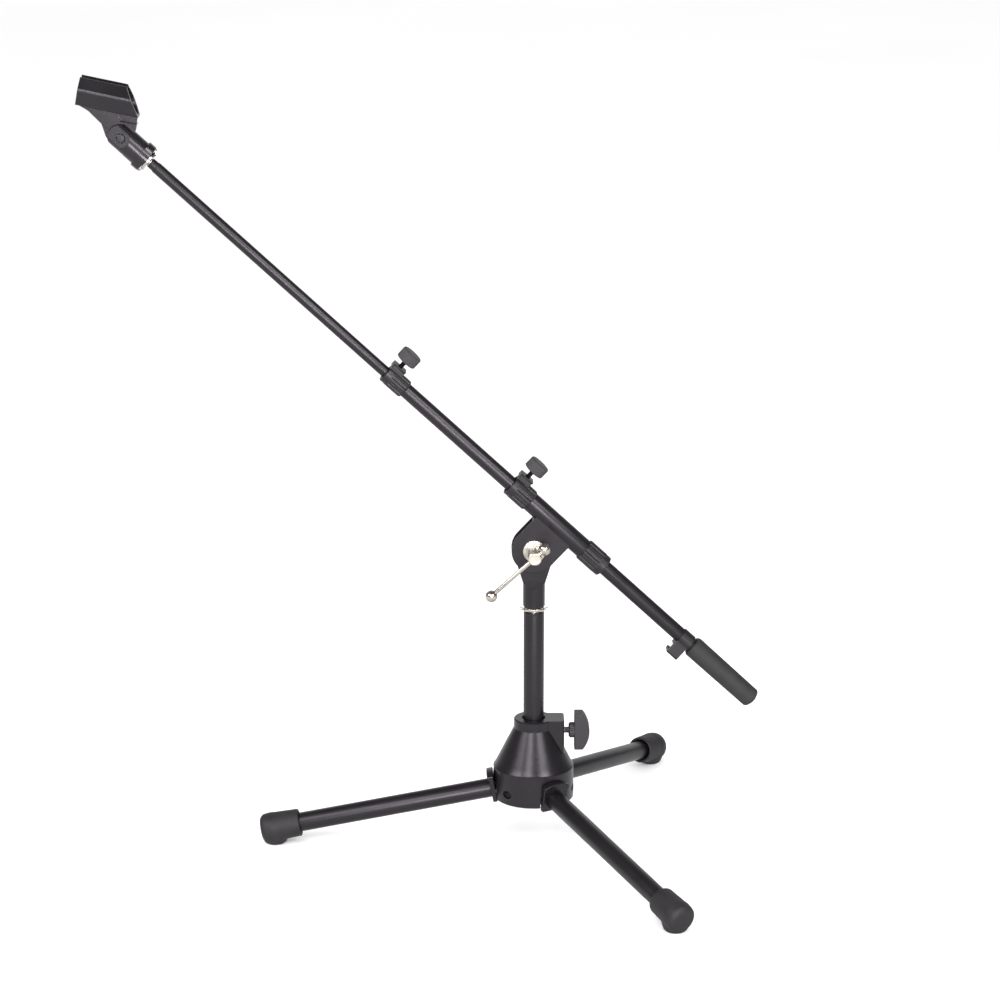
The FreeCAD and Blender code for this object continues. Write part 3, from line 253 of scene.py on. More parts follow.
NICKEL = (0.70, 0.645, 0.575)
MATERIALS = {
    "powder_coat": painted("powder_coat", (0.0060, 0.0052, 0.0062), 0.34, 0.32, 0.016, peel=0.9),
    "casting": painted("casting", (0.0055, 0.0049, 0.0058), 0.29, 0.55, 0.018, peel=1.2),
    "collar_plastic": painted("collar_plastic", (0.0095, 0.0090, 0.0097), 0.40, 0.22, 0.012),
    "knob_plastic": painted("knob_plastic", (0.026, 0.0255, 0.0270), 0.52, 0.26, 0.020),
    "wing_plastic": painted("wing_plastic", (0.020, 0.0195, 0.0210), 0.50, 0.26, 0.020),
    "clip_plastic": painted("clip_plastic", (0.0090, 0.0082, 0.0092), 0.24, 0.20, 0.006),
    "bush_plastic": painted("bush_plastic", (0.008, 0.008, 0.0085), 0.5, 0.3, 0.012),
    "feet_rubber": rubber("feet_rubber", (0.0150, 0.0128, 0.0152), 0.56, 0.42, 0.028),
    "grip_rubber": rubber("grip_rubber", (0.0185, 0.0180, 0.0190), 0.58, 0.34, 0.026),
    "plated": metal("plated", NICKEL, 0.17),
    "turned_nickel": metal(
        "turned_nickel", scaled(NICKEL, 1.05), 0.30, scratch=0.022, stain=0.10, brushed=1.0
    ),
    "dark_steel": metal("dark_steel", (0.055, 0.053, 0.055), 0.36, scratch=0.012, stain=0.15),
    "zinc": metal("zinc", (0.62, 0.62, 0.62), 0.34, scratch=0.010, stain=0.10),
    "black_bolt": metal("black_bolt", (0.040, 0.038, 0.038), 0.38, scratch=0.012, stain=0.2),
    "brass": metal("brass", (0.70, 0.52, 0.24), 0.30, scratch=0.010, stain=0.10),
    "core_steel": metal("core_steel", (0.36, 0.35, 0.34), 0.5, scratch=0.02, stain=0.15),
    "fibre": painted("fibre", (0.060, 0.028, 0.016), 0.72, 0.45, 0.05, specular=0.25, variation=0.3),
}


# ---------------------------------------------------------------- mesh helpers
def rounded(points, radius=0.4, steps=4, closed=True):
    """An outline with its corners turned into arcs. A third number is that corner's radius."""
    count = len(points)
    out = []
    for index, point in enumerate(points):
        here = Vector(point[:2])
        wanted = point[2] if len(point) > 2 else radius
        end = not closed and index in (0, count - 1)
        if end or wanted <= 0:
            out.append(tuple(here))
            continue
        back = Vector(points[index - 1][:2]) - here
        on = Vector(points[(index + 1) % count][:2]) - here
        if back.length < 1e-6 or on.length < 1e-6:
            out.append(tuple(here))
            continue
        angle = back.angle(on)
        if angle > math.radians(179) or angle < math.radians(1):
            out.append(tuple(here))
            continue
        cut = min(wanted / math.tan(angle / 2), back.length * 0.46, on.length * 0.46)
        size = cut * math.tan(angle / 2)
        middle = here + (back.normalized() + on.normalized()).normalized() * (size / math.sin(angle / 2))
        first = here + back.normalized() * cut - middle
        last = here + on.normalized() * cut - middle
        sweep = first.angle_signed(last)
        for step in range(steps + 1):
            part = -sweep * step / steps
            spun = Vector((
                first.x * math.cos(part) - first.y * math.sin(part),
                first.x * math.sin(part) + first.y * math.cos(part),
            ))
            out.append(tuple(middle + spun))
    return out


def skin(bm, rings, closed):
    """Joins rings of vertices, one after the other. A ring of one vertex is a pole."""
    pairs = list(zip(rings, rings[1:]))
    if closed:
        pairs.append((rings[-1], rings[0]))
    for low, high in pairs:
        count = max(len(low), len(high))
        for k in range(count):
            after = (k + 1) % count
            if len(low) == 1 and len(high) == 1:
                continue
            if len(low) == 1:
                bm.faces.new((low[0], high[after], high[k]))
            elif len(high) == 1:
                bm.faces.new((low[k], low[after], high[0]))
            else:
                bm.faces.new((low[k], low[after], high[after], high[k]))


def lathe(bm, outline, turns=72, shape=None, closed=True, place=None):
    """Spins an outline of (radius, height) about Z. shape(angle, radius, height) can change both."""
    rings = []
    made = []
    for radius, height in outline:
        if radius < 1e-4:
            ring = [bm.verts.new((0, 0, height))]
        else:
            ring = []
            for k in range(turns):
                angle = TAU * k / turns
                r, z = shape(angle, radius, height) if shape else (radius, height)
                ring.append(bm.verts.new((r * math.cos(angle), r * math.sin(angle), z)))
        rings.append(ring)
        made += ring
    skin(bm, rings, closed)
    if place is not None:
        bmesh.ops.transform(bm, matrix=place, verts=made)
    return made


def filled(bm, ring, other):
    bm.faces.new(ring)
    bm.faces.new(list(reversed(other)))


def prism(bm, outline, start, end, bevel=0.0, place=None, segments=3, slant=None):
    """Pushes an outline of (x, y) from z start to z end, and rounds the edges of both ends.
    slant(x, y) gives how much further than end a point goes."""
    low = [bm.verts.new((x, y, start)) for x, y in outline]
    high = [bm.verts.new((x, y, end + (slant(x, y) if slant else 0.0))) for x, y in outline]
    before = set(bm.faces)
    skin(bm, [low, high], closed=False)
    filled(bm, high, low)
    made = low + high
    new_faces = [face for face in bm.faces if face not in before]
    if place is not None:
        bmesh.ops.transform(bm, matrix=place, verts=made)
    if bevel:
        rims = set()
        for ring in (low, high):
            for k, vertex in enumerate(ring):
                edge = bm.edges.get((vertex, ring[(k + 1) % len(ring)]))
                rims.add(edge)
        bmesh.ops.recalc_face_normals(bm, faces=new_faces)
        bmesh.ops.bevel(
            bm, geom=list(rims), offset=bevel, segments=segments, profile=0.5, affect="EDGES",
            clamp_overlap=True,
        )


def block(bm, low, high, corner=1.0, bevel=0.5, place=None):
    """A box from corner to corner: round upright edges, bevelled top and bottom."""
    outline = rounded(
        [(low[0], low[1]), (high[0], low[1]), (high[0], high[1]), (low[0], high[1])], corner
    )
    prism(bm, outline, low[2], high[2], bevel, place)


def piece(name, bm, place, material, body, *nodes, sharp=SHARP, flat=True, slot=None):
    """Turns the mesh into a finished piece that rides on its body and stands for CAD nodes."""
    bmesh.ops.recalc_face_normals(bm, faces=bm.faces)
    bmesh.ops.scale(bm, vec=(MM, MM, MM), verts=bm.verts)
    mesh = bpy.data.meshes.new(name)
    bm.to_mesh(mesh)
    bm.free()
    mesh.materials.append(MATERIALS[material])
    mesh.shade_smooth()
    mesh.set_sharp_from_angle(angle=sharp)
    obj = bpy.data.objects.new(name, mesh)
    scene.collection.objects.link(obj)
    obj.matrix_world = place
    if flat:
        normals = obj.modifiers.new("flat_faces", "WEIGHTED_NORMAL")
        normals.keep_sharp = True
    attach(obj, body)
    if nodes:
        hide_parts(*nodes)
    return obj


def carve(obj, bm):
    """Cuts a tool, made in the same local frame in mm, out of a piece."""
    bmesh.ops.recalc_face_normals(bm, faces=bm.faces)
    bmesh.ops.scale(bm, vec=(MM, MM, MM), verts=bm.verts)
    mesh = bpy.data.meshes.new("tool")
    bm.to_mesh(mesh)
    bm.free()
    tool = bpy.data.objects.new("tool", mesh)
    scene.collection.objects.link(tool)
    tool.matrix_world = obj.matrix_world
    carving = obj.modifiers.new("carve", "BOOLEAN")
    carving.operation = "DIFFERENCE"
    carving.solver = "EXACT"
    carving.object = tool
    others = [m for m in obj.modifiers if m != carving]
    for modifier in others:
        modifier.show_viewport = False
    bpy.context.view_layer.update()
    graph = bpy.context.evaluated_depsgraph_get()
    done = bpy.data.meshes.new_from_object(obj.evaluated_get(graph))
    obj.modifiers.remove(carving)
    for modifier in others:
        modifier.show_viewport = True
    old = obj.data
    obj.data = done
    done.shade_smooth()
    done.set_sharp_from_angle(angle=SHARP)
    bpy.data.meshes.remove(old)
    bpy.data.objects.remove(tool)
    bpy.data.meshes.remove(mesh)


def cut_holes(obj, place, *holes):
    """Cuts round holes along Z. Each is a radius, a start, an end and its number of sides."""
    bm = bmesh.new()
    for radius, start, end, sides in holes:
        lathe(bm, [(0, start), (radius, start), (radius, end), (0, end)], sides, closed=False, place=place)
    carve(obj, bm)


def arc(radius, start, end, count, middle=(0.0, 0.0)):
    """Points on an arc from one angle to another, count steps apart."""
    points = []
    for k in range(count + 1):
        angle = start + (end - start) * k / count
        points.append((middle[0] + radius * math.cos(angle), middle[1] + radius * math.sin(angle)))
    return points


def cornered(points, radius):
    """The same points, with a corner radius at the first and the last."""
    return [(*points[0], radius)] + points[1:-1] + [(*points[-1], radius)]


def hexagonal(angle):
    """How far out a hexagon's side is at an angle, where the middle of a side is at 1."""
    return 1 / math.cos((angle + TAU / 12) % (TAU / 6) - TAU / 12)


def groove(angle, count, width):
    """1 in the middle of each of count grooves, 0 between them. width is the groove's share."""
    part = (angle * count / TAU) % 1.0
    away = abs(part - 0.5) * 2
    return max(0.0, 1.0 - (away / width)) if away < width else 0.0


def eased(value):
    value = max(0.0, min(1.0, value))
    return value * value * (3 - 2 * value)


def thread(radius, depth, pitch, start, end):
    """A helical thread on the outline's outer radius, fading out at both ends."""
    def shape(angle, r, z):
        if r < radius - 0.02:
            return r, z
        part = (z / pitch - angle / TAU) % 1.0
        tooth = abs(part * 2 - 1)
        fade = eased((z - start) / pitch) * eased((end - z) / pitch)
        return r - depth * tooth * fade, z
    return shape


def threaded(bm, radius, pitch, depth, start, end, turns=40, bore=0.0, place=None):
    """A threaded rod, or with a bore a threaded tube, from start to end."""
    rows = max(8, int((end - start) / pitch * 8))
    outline = [(radius, start + (end - start) * k / rows) for k in range(rows + 1)]
    tip = min(0.8, radius * 0.2)
    outline = [(radius - tip, start - tip * 0.4)] + outline + [(radius - tip, end + tip * 0.4)]
    if bore:
        outline = [(bore, start - tip * 0.4)] + outline + [(bore, end + tip * 0.4)]
    else:
        outline = [(0, start - tip * 0.4)] + outline + [(0, end + tip * 0.4)]
    shape = thread(radius, depth, pitch, start, end)
    return lathe(bm, outline, turns, shape, closed=bool(bore), place=place)


# ---------------------------------------------------------------- tubes
def tube(name, node, place, body, wall, turns=96):
    low, high = reach(node, place)
    outer = high[0]
    bm = bmesh.new()
    outline = rounded(
        [(outer - wall, low[2]), (outer, low[2]), (outer, high[2]), (outer - wall, high[2])], 0.3
    )
    lathe(bm, outline, turns)
    return piece(name, bm, place, "powder_coat", body, node, flat=False)


LEG_WALL = 1.5
BOOM_WALL = 1.2
tube("column_post", "column_tube", UPRIGHT, "column", LEG_WALL)
tube("boom_outer", "outer_tube", BOOM, "boom", BOOM_WALL)
tube("boom_middle", "middle_tube", BOOM, "middle_section", BOOM_WALL)
tube("boom_thin", "thin_tube", BOOM, "thin_section", 1.0)


# ---------------------------------------------------------------- collars and thumbscrews
RIB_COUNT = 16
RIB_DEPTH = 0.75


def ribbed(radius, start, end, tail, count=RIB_COUNT, depth=RIB_DEPTH):
    """Flat ribs with sharp grooves between start and end, running out at the tail's end."""
    way = 1.0 if end > start else -1.0

    def shape(angle, r, z):
        if r < radius - 1.9:
            return r, z
        share = eased(way * (z - start) / 1.2)
        if r < radius - 0.9:
            share *= 0.35
        cut = groove(angle, count, 0.34) * depth * share
        scallop = groove(angle, count, 0.6) * tail * eased(way * (z - end) / 2.0 + 1.0)
        return r - cut, z - way * scallop
    return shape


def collar_outline(inner, radius, start, end, lip, lip_start):
    """From the ribbed rear end to the lip at the microphone end."""
    return rounded([
        (inner, start, 0.2), (radius - 1.1, start, 0.5), (radius - 0.15, start + 1.6, 0.8),
        (radius, start + 8.0, 4.0), (radius, end - 6.4, 0.1), (radius - 0.3, end - 6.2, 0.1),
        (radius - 0.3, end - 0.7, 0.3), (radius - 0.9, end, 0.2), (lip, end, 0.2),
        (lip, lip_start, 0.1), (inner, lip_start, 0.1),
    ], 0.2, steps=3)


def dense(outline, step):
    """The same outline with more rows, so that ribs and threads have room to bend."""
    out = []
    for index, point in enumerate(outline):
        after = outline[(index + 1) % len(outline)]
        length = math.dist(point, after)
        parts = max(1, int(length / step))
        for k in range(parts):
            out.append((
                point[0] + (after[0] - point[0]) * k / parts,
                point[1] + (after[1] - point[1]) * k / parts,
            ))
    return out


def clamp_collar(name, body, tube_node, screw_joint, plate_node, bush_node, top):
    """A ribbed collar, the block over it, and the bent plate that holds the screw's nut."""
    low, high = reach(name, BOOM)
    tube_high = reach(tube_node, BOOM)[1]
    radius = -low[0]
    inner = tube_high[0] + 0.05
    bush_high = reach(bush_node, BOOM)[1]
    screw = (joint_place(screw_joint) - BOOM_FOOT).dot(BOOM_WAY) / MM
    bm = bmesh.new()
    outline = collar_outline(inner, radius, low[2], high[2], bush_high[0] + 0.3, tube_high[2] + 0.1)
    end = min(high[2], screw + 7.8)
    outline = [(r, min(z, end)) for r, z in outline]
    lathe(bm, dense(outline, 1.1), RIB_COUNT * 12, ribbed(radius, high[2] - 7.0, low[2], 0.5))
    half = 7.0
    half_length = 7.5
    block(bm, (inner - 1.0, -half, screw - half_length), (top, half, screw + half_length), 1.2, 0.5)
    piece(name + "_body", bm, BOOM, "collar_plastic", body, name)
    bent_plate(plate_node + "_bent", plate_node, body, screw)


def bent_plate(name, node, body, screw):
    """The plate over the block, bent down in front of it, with the screw's hole."""
    low, high = reach(node, BOOM)
    lip = high[2] - 1.0
    top = high[0]
    bottom = top - PLATE
    outline = rounded([
        (low[0], lip, 0.15), (low[0], high[2], 0.3), (top, high[2], 1.3),
        (top, low[2], 0.3), (bottom, low[2], 0.3), (bottom, lip, 0.2),
    ], 0.2)
    bm = bmesh.new()
    prism(bm, outline, -high[1], high[1], 0.25, place=ON_XZ)
    made = piece(name, bm, BOOM, "black_bolt", body, node)
    cut_holes(made, Matrix.Translation((0, 0, screw)) @ turn(90, "Y"), (2.75, -5, 40, 40))


PLATE = 2.0
FRONT_TOP = reach("front_nut_plate", BOOM)[1][0] - PLATE
MIDDLE_TOP = reach("middle_nut_plate", BOOM)[1][0] - PLATE
clamp_collar("front_collar", "boom", "outer_tube", "front_screw_turn", "front_nut_plate",
             "front_bush", FRONT_TOP)
clamp_collar("middle_collar", "middle_section", "middle_tube", "middle_screw_turn",
             "middle_nut_plate", "middle_bush", MIDDLE_TOP)


def rear_collar():
    """The collar at the outer tube's other end: ribbed too, without a block."""
    low, high = reach("rear_collar", BOOM)
    radius = high[0]
    inner = reach("outer_tube", BOOM)[1][0] + 0.05
    bm = bmesh.new()
    outline = rounded([
        (inner, high[2], 0.2), (radius - 0.8, high[2], 0.5), (radius, high[2] - 1.6, 0.8),
        (radius, low[2] + 6.4, 0.1), (radius - 0.3, low[2] + 6.2, 0.1),
        (radius - 0.3, low[2] + 0.7, 0.3), (radius - 0.9, low[2], 0.2), (inner - 1.4, low[2], 0.2),
        (inner - 1.4, low[2] + 6.0, 0.1), (inner, low[2] + 6.0, 0.1),
    ], 0.2, steps=3)
    lathe(bm, dense(outline, 1.1), RIB_COUNT * 12, ribbed(radius, low[2] + 7.0, high[2], 0.5))
    piece("rear_collar_body", bm, BOOM, "collar_plastic", "boom", "rear_collar")


rear_collar()


def bush(name, node, tube_node, body):
    """The dark plastic bush whose thin lip shows past the collar."""
    low, high = reach(node, BOOM)
    outer = high[0]
    inner = reach(tube_node, BOOM)[1][0] + 0.05
    bm = bmesh.new()
    lathe(bm, rounded([
        (inner, low[2]), (outer, low[2]), (outer, high[2]), (inner, high[2], 0.5),
    ], 0.3), 72)
    piece(name, bm, BOOM, "bush_plastic", body, node, flat=False)


bush("front_bush_ring", "front_bush", "middle_tube", "boom")
bush("rear_bush_ring", "rear_bush", "middle_tube", "boom")
bush("middle_bush_ring", "middle_bush", "thin_tube", "middle_section")

KNOB_RIBS = 44


def thumbscrew(key, joint):
    """A fluted knob on a black threaded stud."""
    place = screw_frame(joint)
    knob_low, knob_high = reach(key + "_screw_knob", place)
    stud_low = reach(key + "_screw_stud", place)[0]
    radius = knob_high[0]
    back = knob_low[2]
    face = knob_high[2] - 0.3

    def flutes(angle, r, z):
        if r < radius - 0.4:
            return r, z
        wave = 0.5 - 0.5 * math.cos(angle * KNOB_RIBS)
        return r - 0.34 * wave * wave, z

    outline = rounded([
        (2.7, back + 6.0, 0), (2.7, back, 0.1), (6.0, back, 0.2), (6.6, back + 0.5, 0.3),
        (radius - 1.0, back + 0.5, 0.4), (radius, back + 1.3, 0.4), (radius, face - 1.2, 0.4),
        (radius - 1.0, face - 0.1, 0.4), (radius - 1.7, face, 0.2), (radius - 2.1, face, 0.15),
        (radius - 2.5, face - 0.5, 0.15), (radius - 2.9, face, 0.15), (5.0, face + 0.22, 3.0),
        (0, face + 0.3, 0),
    ], 0.3, steps=3, closed=False)
    bm = bmesh.new()
    lathe(bm, outline, KNOB_RIBS * 6, flutes, closed=False)
    piece(key + "_knob_fluted", bm, place, "knob_plastic", key + "_thumbscrew", key + "_screw_knob")
    bm = bmesh.new()
    threaded(bm, 2.65, 1.0, 0.34, stud_low[2] + 0.4, back + 5.6)
    piece(key + "_stud_threaded", bm, place, "black_bolt", key + "_thumbscrew", key + "_screw_stud",
          flat=False)


thumbscrew("front", "front_screw_turn")
thumbscrew("middle", "middle_screw_turn")


# ---------------------------------------------------------------- grip and cable clip
def grip():
    """The rubber sleeve over the rear end, with a domed end."""
    low, high = reach("rubber_grip", BOOM)
    front = high[2]
    rear = low[2]
    radius = high[0]
    inner = reach("middle_tube", BOOM)[1][0]
    bm = bmesh.new()
    lathe(bm, rounded([
        (inner + 0.05, front, 0.3), (radius - 1.6, front, 1.0), (radius, front - 2.4, 2.2),
        (radius - 0.6, rear + 4.4, 1.4), (radius - 1.9, rear + 2.6, 1.6), (5.6, rear + 0.5, 3.0),
        (0, rear, 0),
    ], 0.3, steps=6, closed=False), 96, closed=False)
    piece("grip_sleeve", bm, BOOM, "grip_rubber", "middle_section", "rubber_grip", flat=False)


def cable_clip():
    """A band round the tube, and a hook below it that is open to one side."""
    low, high = reach("cable_clip", BOOM)
    inner = reach("middle_tube", BOOM)[1][0] + 0.05
    band = high[0]
    bm = bmesh.new()
    lathe(bm, rounded([
        (inner, low[2]), (band, low[2]), (band, high[2]), (inner, high[2]),
    ], 0.5), 72)
    half = -low[1]
    bottom = low[0]
    way = (-15.6, 0.4)
    way_radius = 4.0
    mouth = 3.0
    first = math.pi / 2 - math.asin(mouth / way_radius)
    outline = rounded([(-8.6, half, 0.8), (way[0] + mouth, half, 0.8)], 0.8, closed=False)
    outline += arc(way_radius, first, -math.pi - first, 24, way)
    outline += rounded([
        (way[0] - mouth, half, 0.0), (bottom, half, 2.0), (bottom, -half, 2.4),
        (-8.6, -half + 1.4, 2.0), (-4.0, -half + 1.6, 0.0), (-4.0, half - 1.4, 0.0),
    ], 0.6, closed=False)
    prism(bm, outline, low[2], high[2], 0.7)
    piece("cable_clip_hook", bm, BOOM, "collar_plastic", "cable_clip", "cable_clip")


grip()
cable_clip()


# ---------------------------------------------------------------- clutch
def clutch():
    """The stepped washer, the screw's head and the bar through it with a ball at each end."""
    washer_low, washer_high = reach("clutch_washer", CLUTCH)
    seat = washer_low[2]
    top = washer_high[2]
    bm = bmesh.new()
    lathe(bm, rounded([
        (5.1, seat, 0.1), (washer_high[0] - 0.2, seat, 0.2), (washer_high[0], seat + 0.4, 0.2),
        (washer_high[0] - 0.5, seat + 1.3, 0.3), (9.3, seat + 1.75, 0.3), (8.6, seat + 1.8, 0.15),
        (8.5, top - 0.1, 0.3), (7.8, top, 0.2), (5.1, top, 0.1),
    ], 0.2), 96)
    piece("clutch_washer_stepped", bm, CLUTCH, "turned_nickel", "boom", "clutch_washer", slot="plated")
    low, high = reach("clutch_screw", CLUTCH)
    head = high[0]
    end = high[2]
    bm = bmesh.new()
    lathe(bm, rounded([
        (0, -12.0, 0), (5.0, -12.0, 0), (5.0, top + 0.05, 0.1), (head - 0.5, top + 0.05, 0.3),
        (head, top + 0.6, 0.3), (head, end - 10.4, 0.2), (head - 0.35, end - 10.1, 0.15),
        (head - 0.35, end - 9.6, 0.15), (head, end - 9.3, 0.2), (head, end - 1.0, 0.35),
        (head - 1.0, end, 0.25), (head - 1.9, end - 0.05, 0.1), (0, end - 0.12, 0),
    ], 0.2, steps=3, closed=False), 72, closed=False)
    threaded(bm, 5.0, 1.25, 0.42, low[2] + 0.4, -11.0)
    piece("clutch_screw_head", bm, CLUTCH, "turned_nickel", "clutch_screw", "clutch_screw", slot="plated")
    place = bar_frame()
    rod_low, rod_high = reach("tommy_rod", place)
    bm = bmesh.new()
    lathe(bm, rounded([
        (0, rod_low[2], 0), (rod_high[0], rod_low[2], 0.2), (rod_high[0], rod_high[2], 0.2),
        (0, rod_high[2], 0),
    ], 0.2, closed=False), 48, closed=False)
    piece("tommy_bar_rod", bm, place, "plated", "tommy_bar", "tommy_rod", flat=False)
    for key in ("far", "near"):
        ball_low, ball_high = reach("bar_ball_" + key, place)
        radius = ball_high[0]
        middle = (ball_low[2] + ball_high[2]) / 2
        inward = 1.0 if key == "far" else -1.0
        outline = []
        for step in range(41):
            angle = math.pi * step / 40
            r = radius * math.sin(angle)
            z = -radius * math.cos(angle)
            if z > radius * 0.925:
                break
            outline.append((r, z))
        outline += [(2.5, radius * 0.94), (2.35, radius * 0.90), (0, radius * 0.90)]
        outline = [(r, middle + inward * z) for r, z in outline]
        bm = bmesh.new()
        lathe(bm, outline, 64, closed=False)
        piece("bar_ball_%s_turned" % key, bm, place, "plated", "tommy_bar", "bar_ball_" + key, flat=False)


clutch()


def hex_nut(name, node, place, body, across, bore, chamfer=0.7):
    """A hexagon nut: its corners are cut back by a cone at both faces."""
    low, high = reach(node, place)
    bm = bmesh.new()
    limit = across / 2

    def six(angle, r, z):
        if r < limit - 0.01:
            return r, z
        return min(r, limit * hexagonal(angle)), z

    corner = across / math.sqrt(3)
    lathe(bm, dense([
        (bore, low[2] + 0.5), (bore + 0.5, low[2]), (limit - 0.1, low[2]), (corner, low[2] + chamfer),
        (corner, high[2] - chamfer), (limit - 0.1, high[2]), (bore + 0.5, high[2]), (bore, high[2] - 0.5),
    ], 0.5), 96, six)
    piece(name, bm, place, "zinc", body, node, sharp=math.radians(24))


hex_nut("clutch_nut_hex", "clutch_nut", CLUTCH, "boom", 17.0, 5.05)
hex_nut("clip_nut_hex", "clip_pivot_nut", CLIP_PIVOT, "clip_fork", 8.0, 2.55, 0.35)


# ---------------------------------------------------------------- lock nuts
def lock_nut(name, node, place, body, bore, spin=0.0):
    """A stamped nut: one band with a wavy lower edge, and two ears that curl up at its sides."""
    low, high = reach(node, place)
    ring_radius = min(high[0], high[1])
    ear_end = max(high[0], high[1])
    bottom = low[2]
    top = high[2]
    bm = bmesh.new()

    def wavy(angle, r, z):
        lift = 1.5 * math.sin(angle - spin) ** 2 + 0.3 * math.cos(6 * (angle - spin))
        return r, z + lift * eased((r - bore) / (ring_radius - bore))

    lathe(bm, rounded([
        (bore, bottom + 1.0, 0.2), (ring_radius - 0.9, bottom + 0.2, 0.4),
        (ring_radius - 0.1, bottom + 0.3, 0.4), (ring_radius, bottom + 2.6, 0.8),
        (ring_radius - 0.5, top - 0.9, 0.3), (ring_radius - 1.2, top - 1.0, 0.2),
        (ring_radius - 1.6, bottom + 2.0, 0.6), (bore, bottom + 2.0, 0.2),
    ], 0.3, steps=4), 120, wavy)
    inside = ring_radius - 1.2
    full_bend = math.radians(72)
    out_scale = (ear_end - inside - 0.5) / math.sin(full_bend)
    up_scale = (top - bottom - 1.4) / (1 - math.cos(full_bend))
    for side in (0, 1):
        rings = []
        for k in range(11):
            part = k / 10
            bend = part * full_bend
            out = inside + out_scale * math.sin(bend)
            up = bottom + 1.6 + up_scale * (1 - math.cos(bend))
            width = 4.3 * math.sqrt(1 - 0.75 * part ** 3)
            thick = Vector((-math.sin(bend), math.cos(bend))) * 0.4
            ring = []
            for way in (1, -1):
                for step in range(5):
                    y = way * width * (step / 2 - 1)
                    ring.append(bm.verts.new((out + way * thick.x, y, up + way * thick.y)))
            rings.append(ring)
        skin(bm, rings, closed=False)
        filled(bm, rings[-1], rings[0])
        made = [vertex for ring in rings for vertex in ring]
        bmesh.ops.transform(bm, matrix=Matrix.Rotation(spin + math.pi * side, 4, "Z"), verts=made)
    piece(name, bm, place, "plated", body, node, sharp=math.radians(50), flat=False)


lock_nut("column_nut_eared", "column_lock_nut", UPRIGHT, "column_nut", 8.0)
lock_nut("mic_nut_eared", "mic_lock_nut", BOOM, "mic_nut", 4.9)


# ---------------------------------------------------------------- studs
def studs():
    """The column's and the boom's threaded ends. Their shoulders are black, like the tubes."""
    low, high = reach("column_stud", UPRIGHT)
    tube_high = reach("column_tube", UPRIGHT)[1]
    inner = tube_high[0] - LEG_WALL - 0.1
    shoulder = tube_high[2]
    bm = bmesh.new()
    lathe(bm, rounded([
        (7.4, shoulder - 0.2, 0), (inner, shoulder - 0.2, 0), (tube_high[0], shoulder, 0.2),
        (tube_high[0], shoulder + 2.4, 0.5), (7.4, shoulder + 2.4, 0),
    ], 0.2), 96)
    piece("column_shoulder", bm, UPRIGHT, "powder_coat", "column", flat=False)
    bm = bmesh.new()
    lathe(bm, rounded([
        (0, low[2], 0), (inner, low[2], 0.4), (inner, shoulder - 0.3, 0.1), (7.3, shoulder - 0.3, 0.1),
        (7.3, shoulder + 3.0, 0), (0, shoulder + 3.0, 0),
    ], 0.2, closed=False), 72, closed=False)
    threaded(bm, 7.94, 0.94, 0.4, shoulder + 2.6, high[2] - 0.6, turns=56)
    piece("column_stud_threaded", bm, UPRIGHT, "zinc", "column", "column_stud", flat=False)
    low, high = reach("mic_stud", BOOM)
    tube_high = reach("thin_tube", BOOM)[1]
    end = tube_high[2]
    nut = reach("mic_lock_nut", BOOM)[0][2]
    neck_radius = 5.4
    bm = bmesh.new()
    lathe(bm, rounded([
        (4.2, end, 0), (tube_high[0], end + 0.05, 0.2), (tube_high[0], end + 0.9, 0.4),
        (neck_radius, end + 1.4, 0.3), (neck_radius, nut - 0.5, 0.4), (4.2, nut - 0.5, 0),
    ], 0.2), 72)
    piece("mic_stud_neck", bm, BOOM, "powder_coat", "thin_section", flat=False)
    bm = bmesh.new()
    lathe(bm, rounded([
        (0, low[2], 0), (4.9, low[2], 0.4), (4.9, end - 0.1, 0.05), (4.1, end - 0.1, 0.1),
        (4.1, nut - 0.4, 0), (0, nut - 0.4, 0),
    ], 0.2, closed=False), 72, closed=False)
    threaded(bm, 4.76, 1.59, 0.6, nut - 0.3, high[2] - 0.6, turns=48)
    piece("mic_stud_threaded", bm, BOOM, "zinc", "thin_section", "mic_stud", flat=False)


studs()


# ---------------------------------------------------------------- legs
def leg(index):
    """A leg: its tube, foot and fitting."""
    place = leg_frame(index)
    body = "leg_%d" % index
    tube("leg_%d_tube" % index, "leg_tube_%d" % index, place, body, LEG_WALL)
    foot(index, place, body)
    fitting(index, place, body)


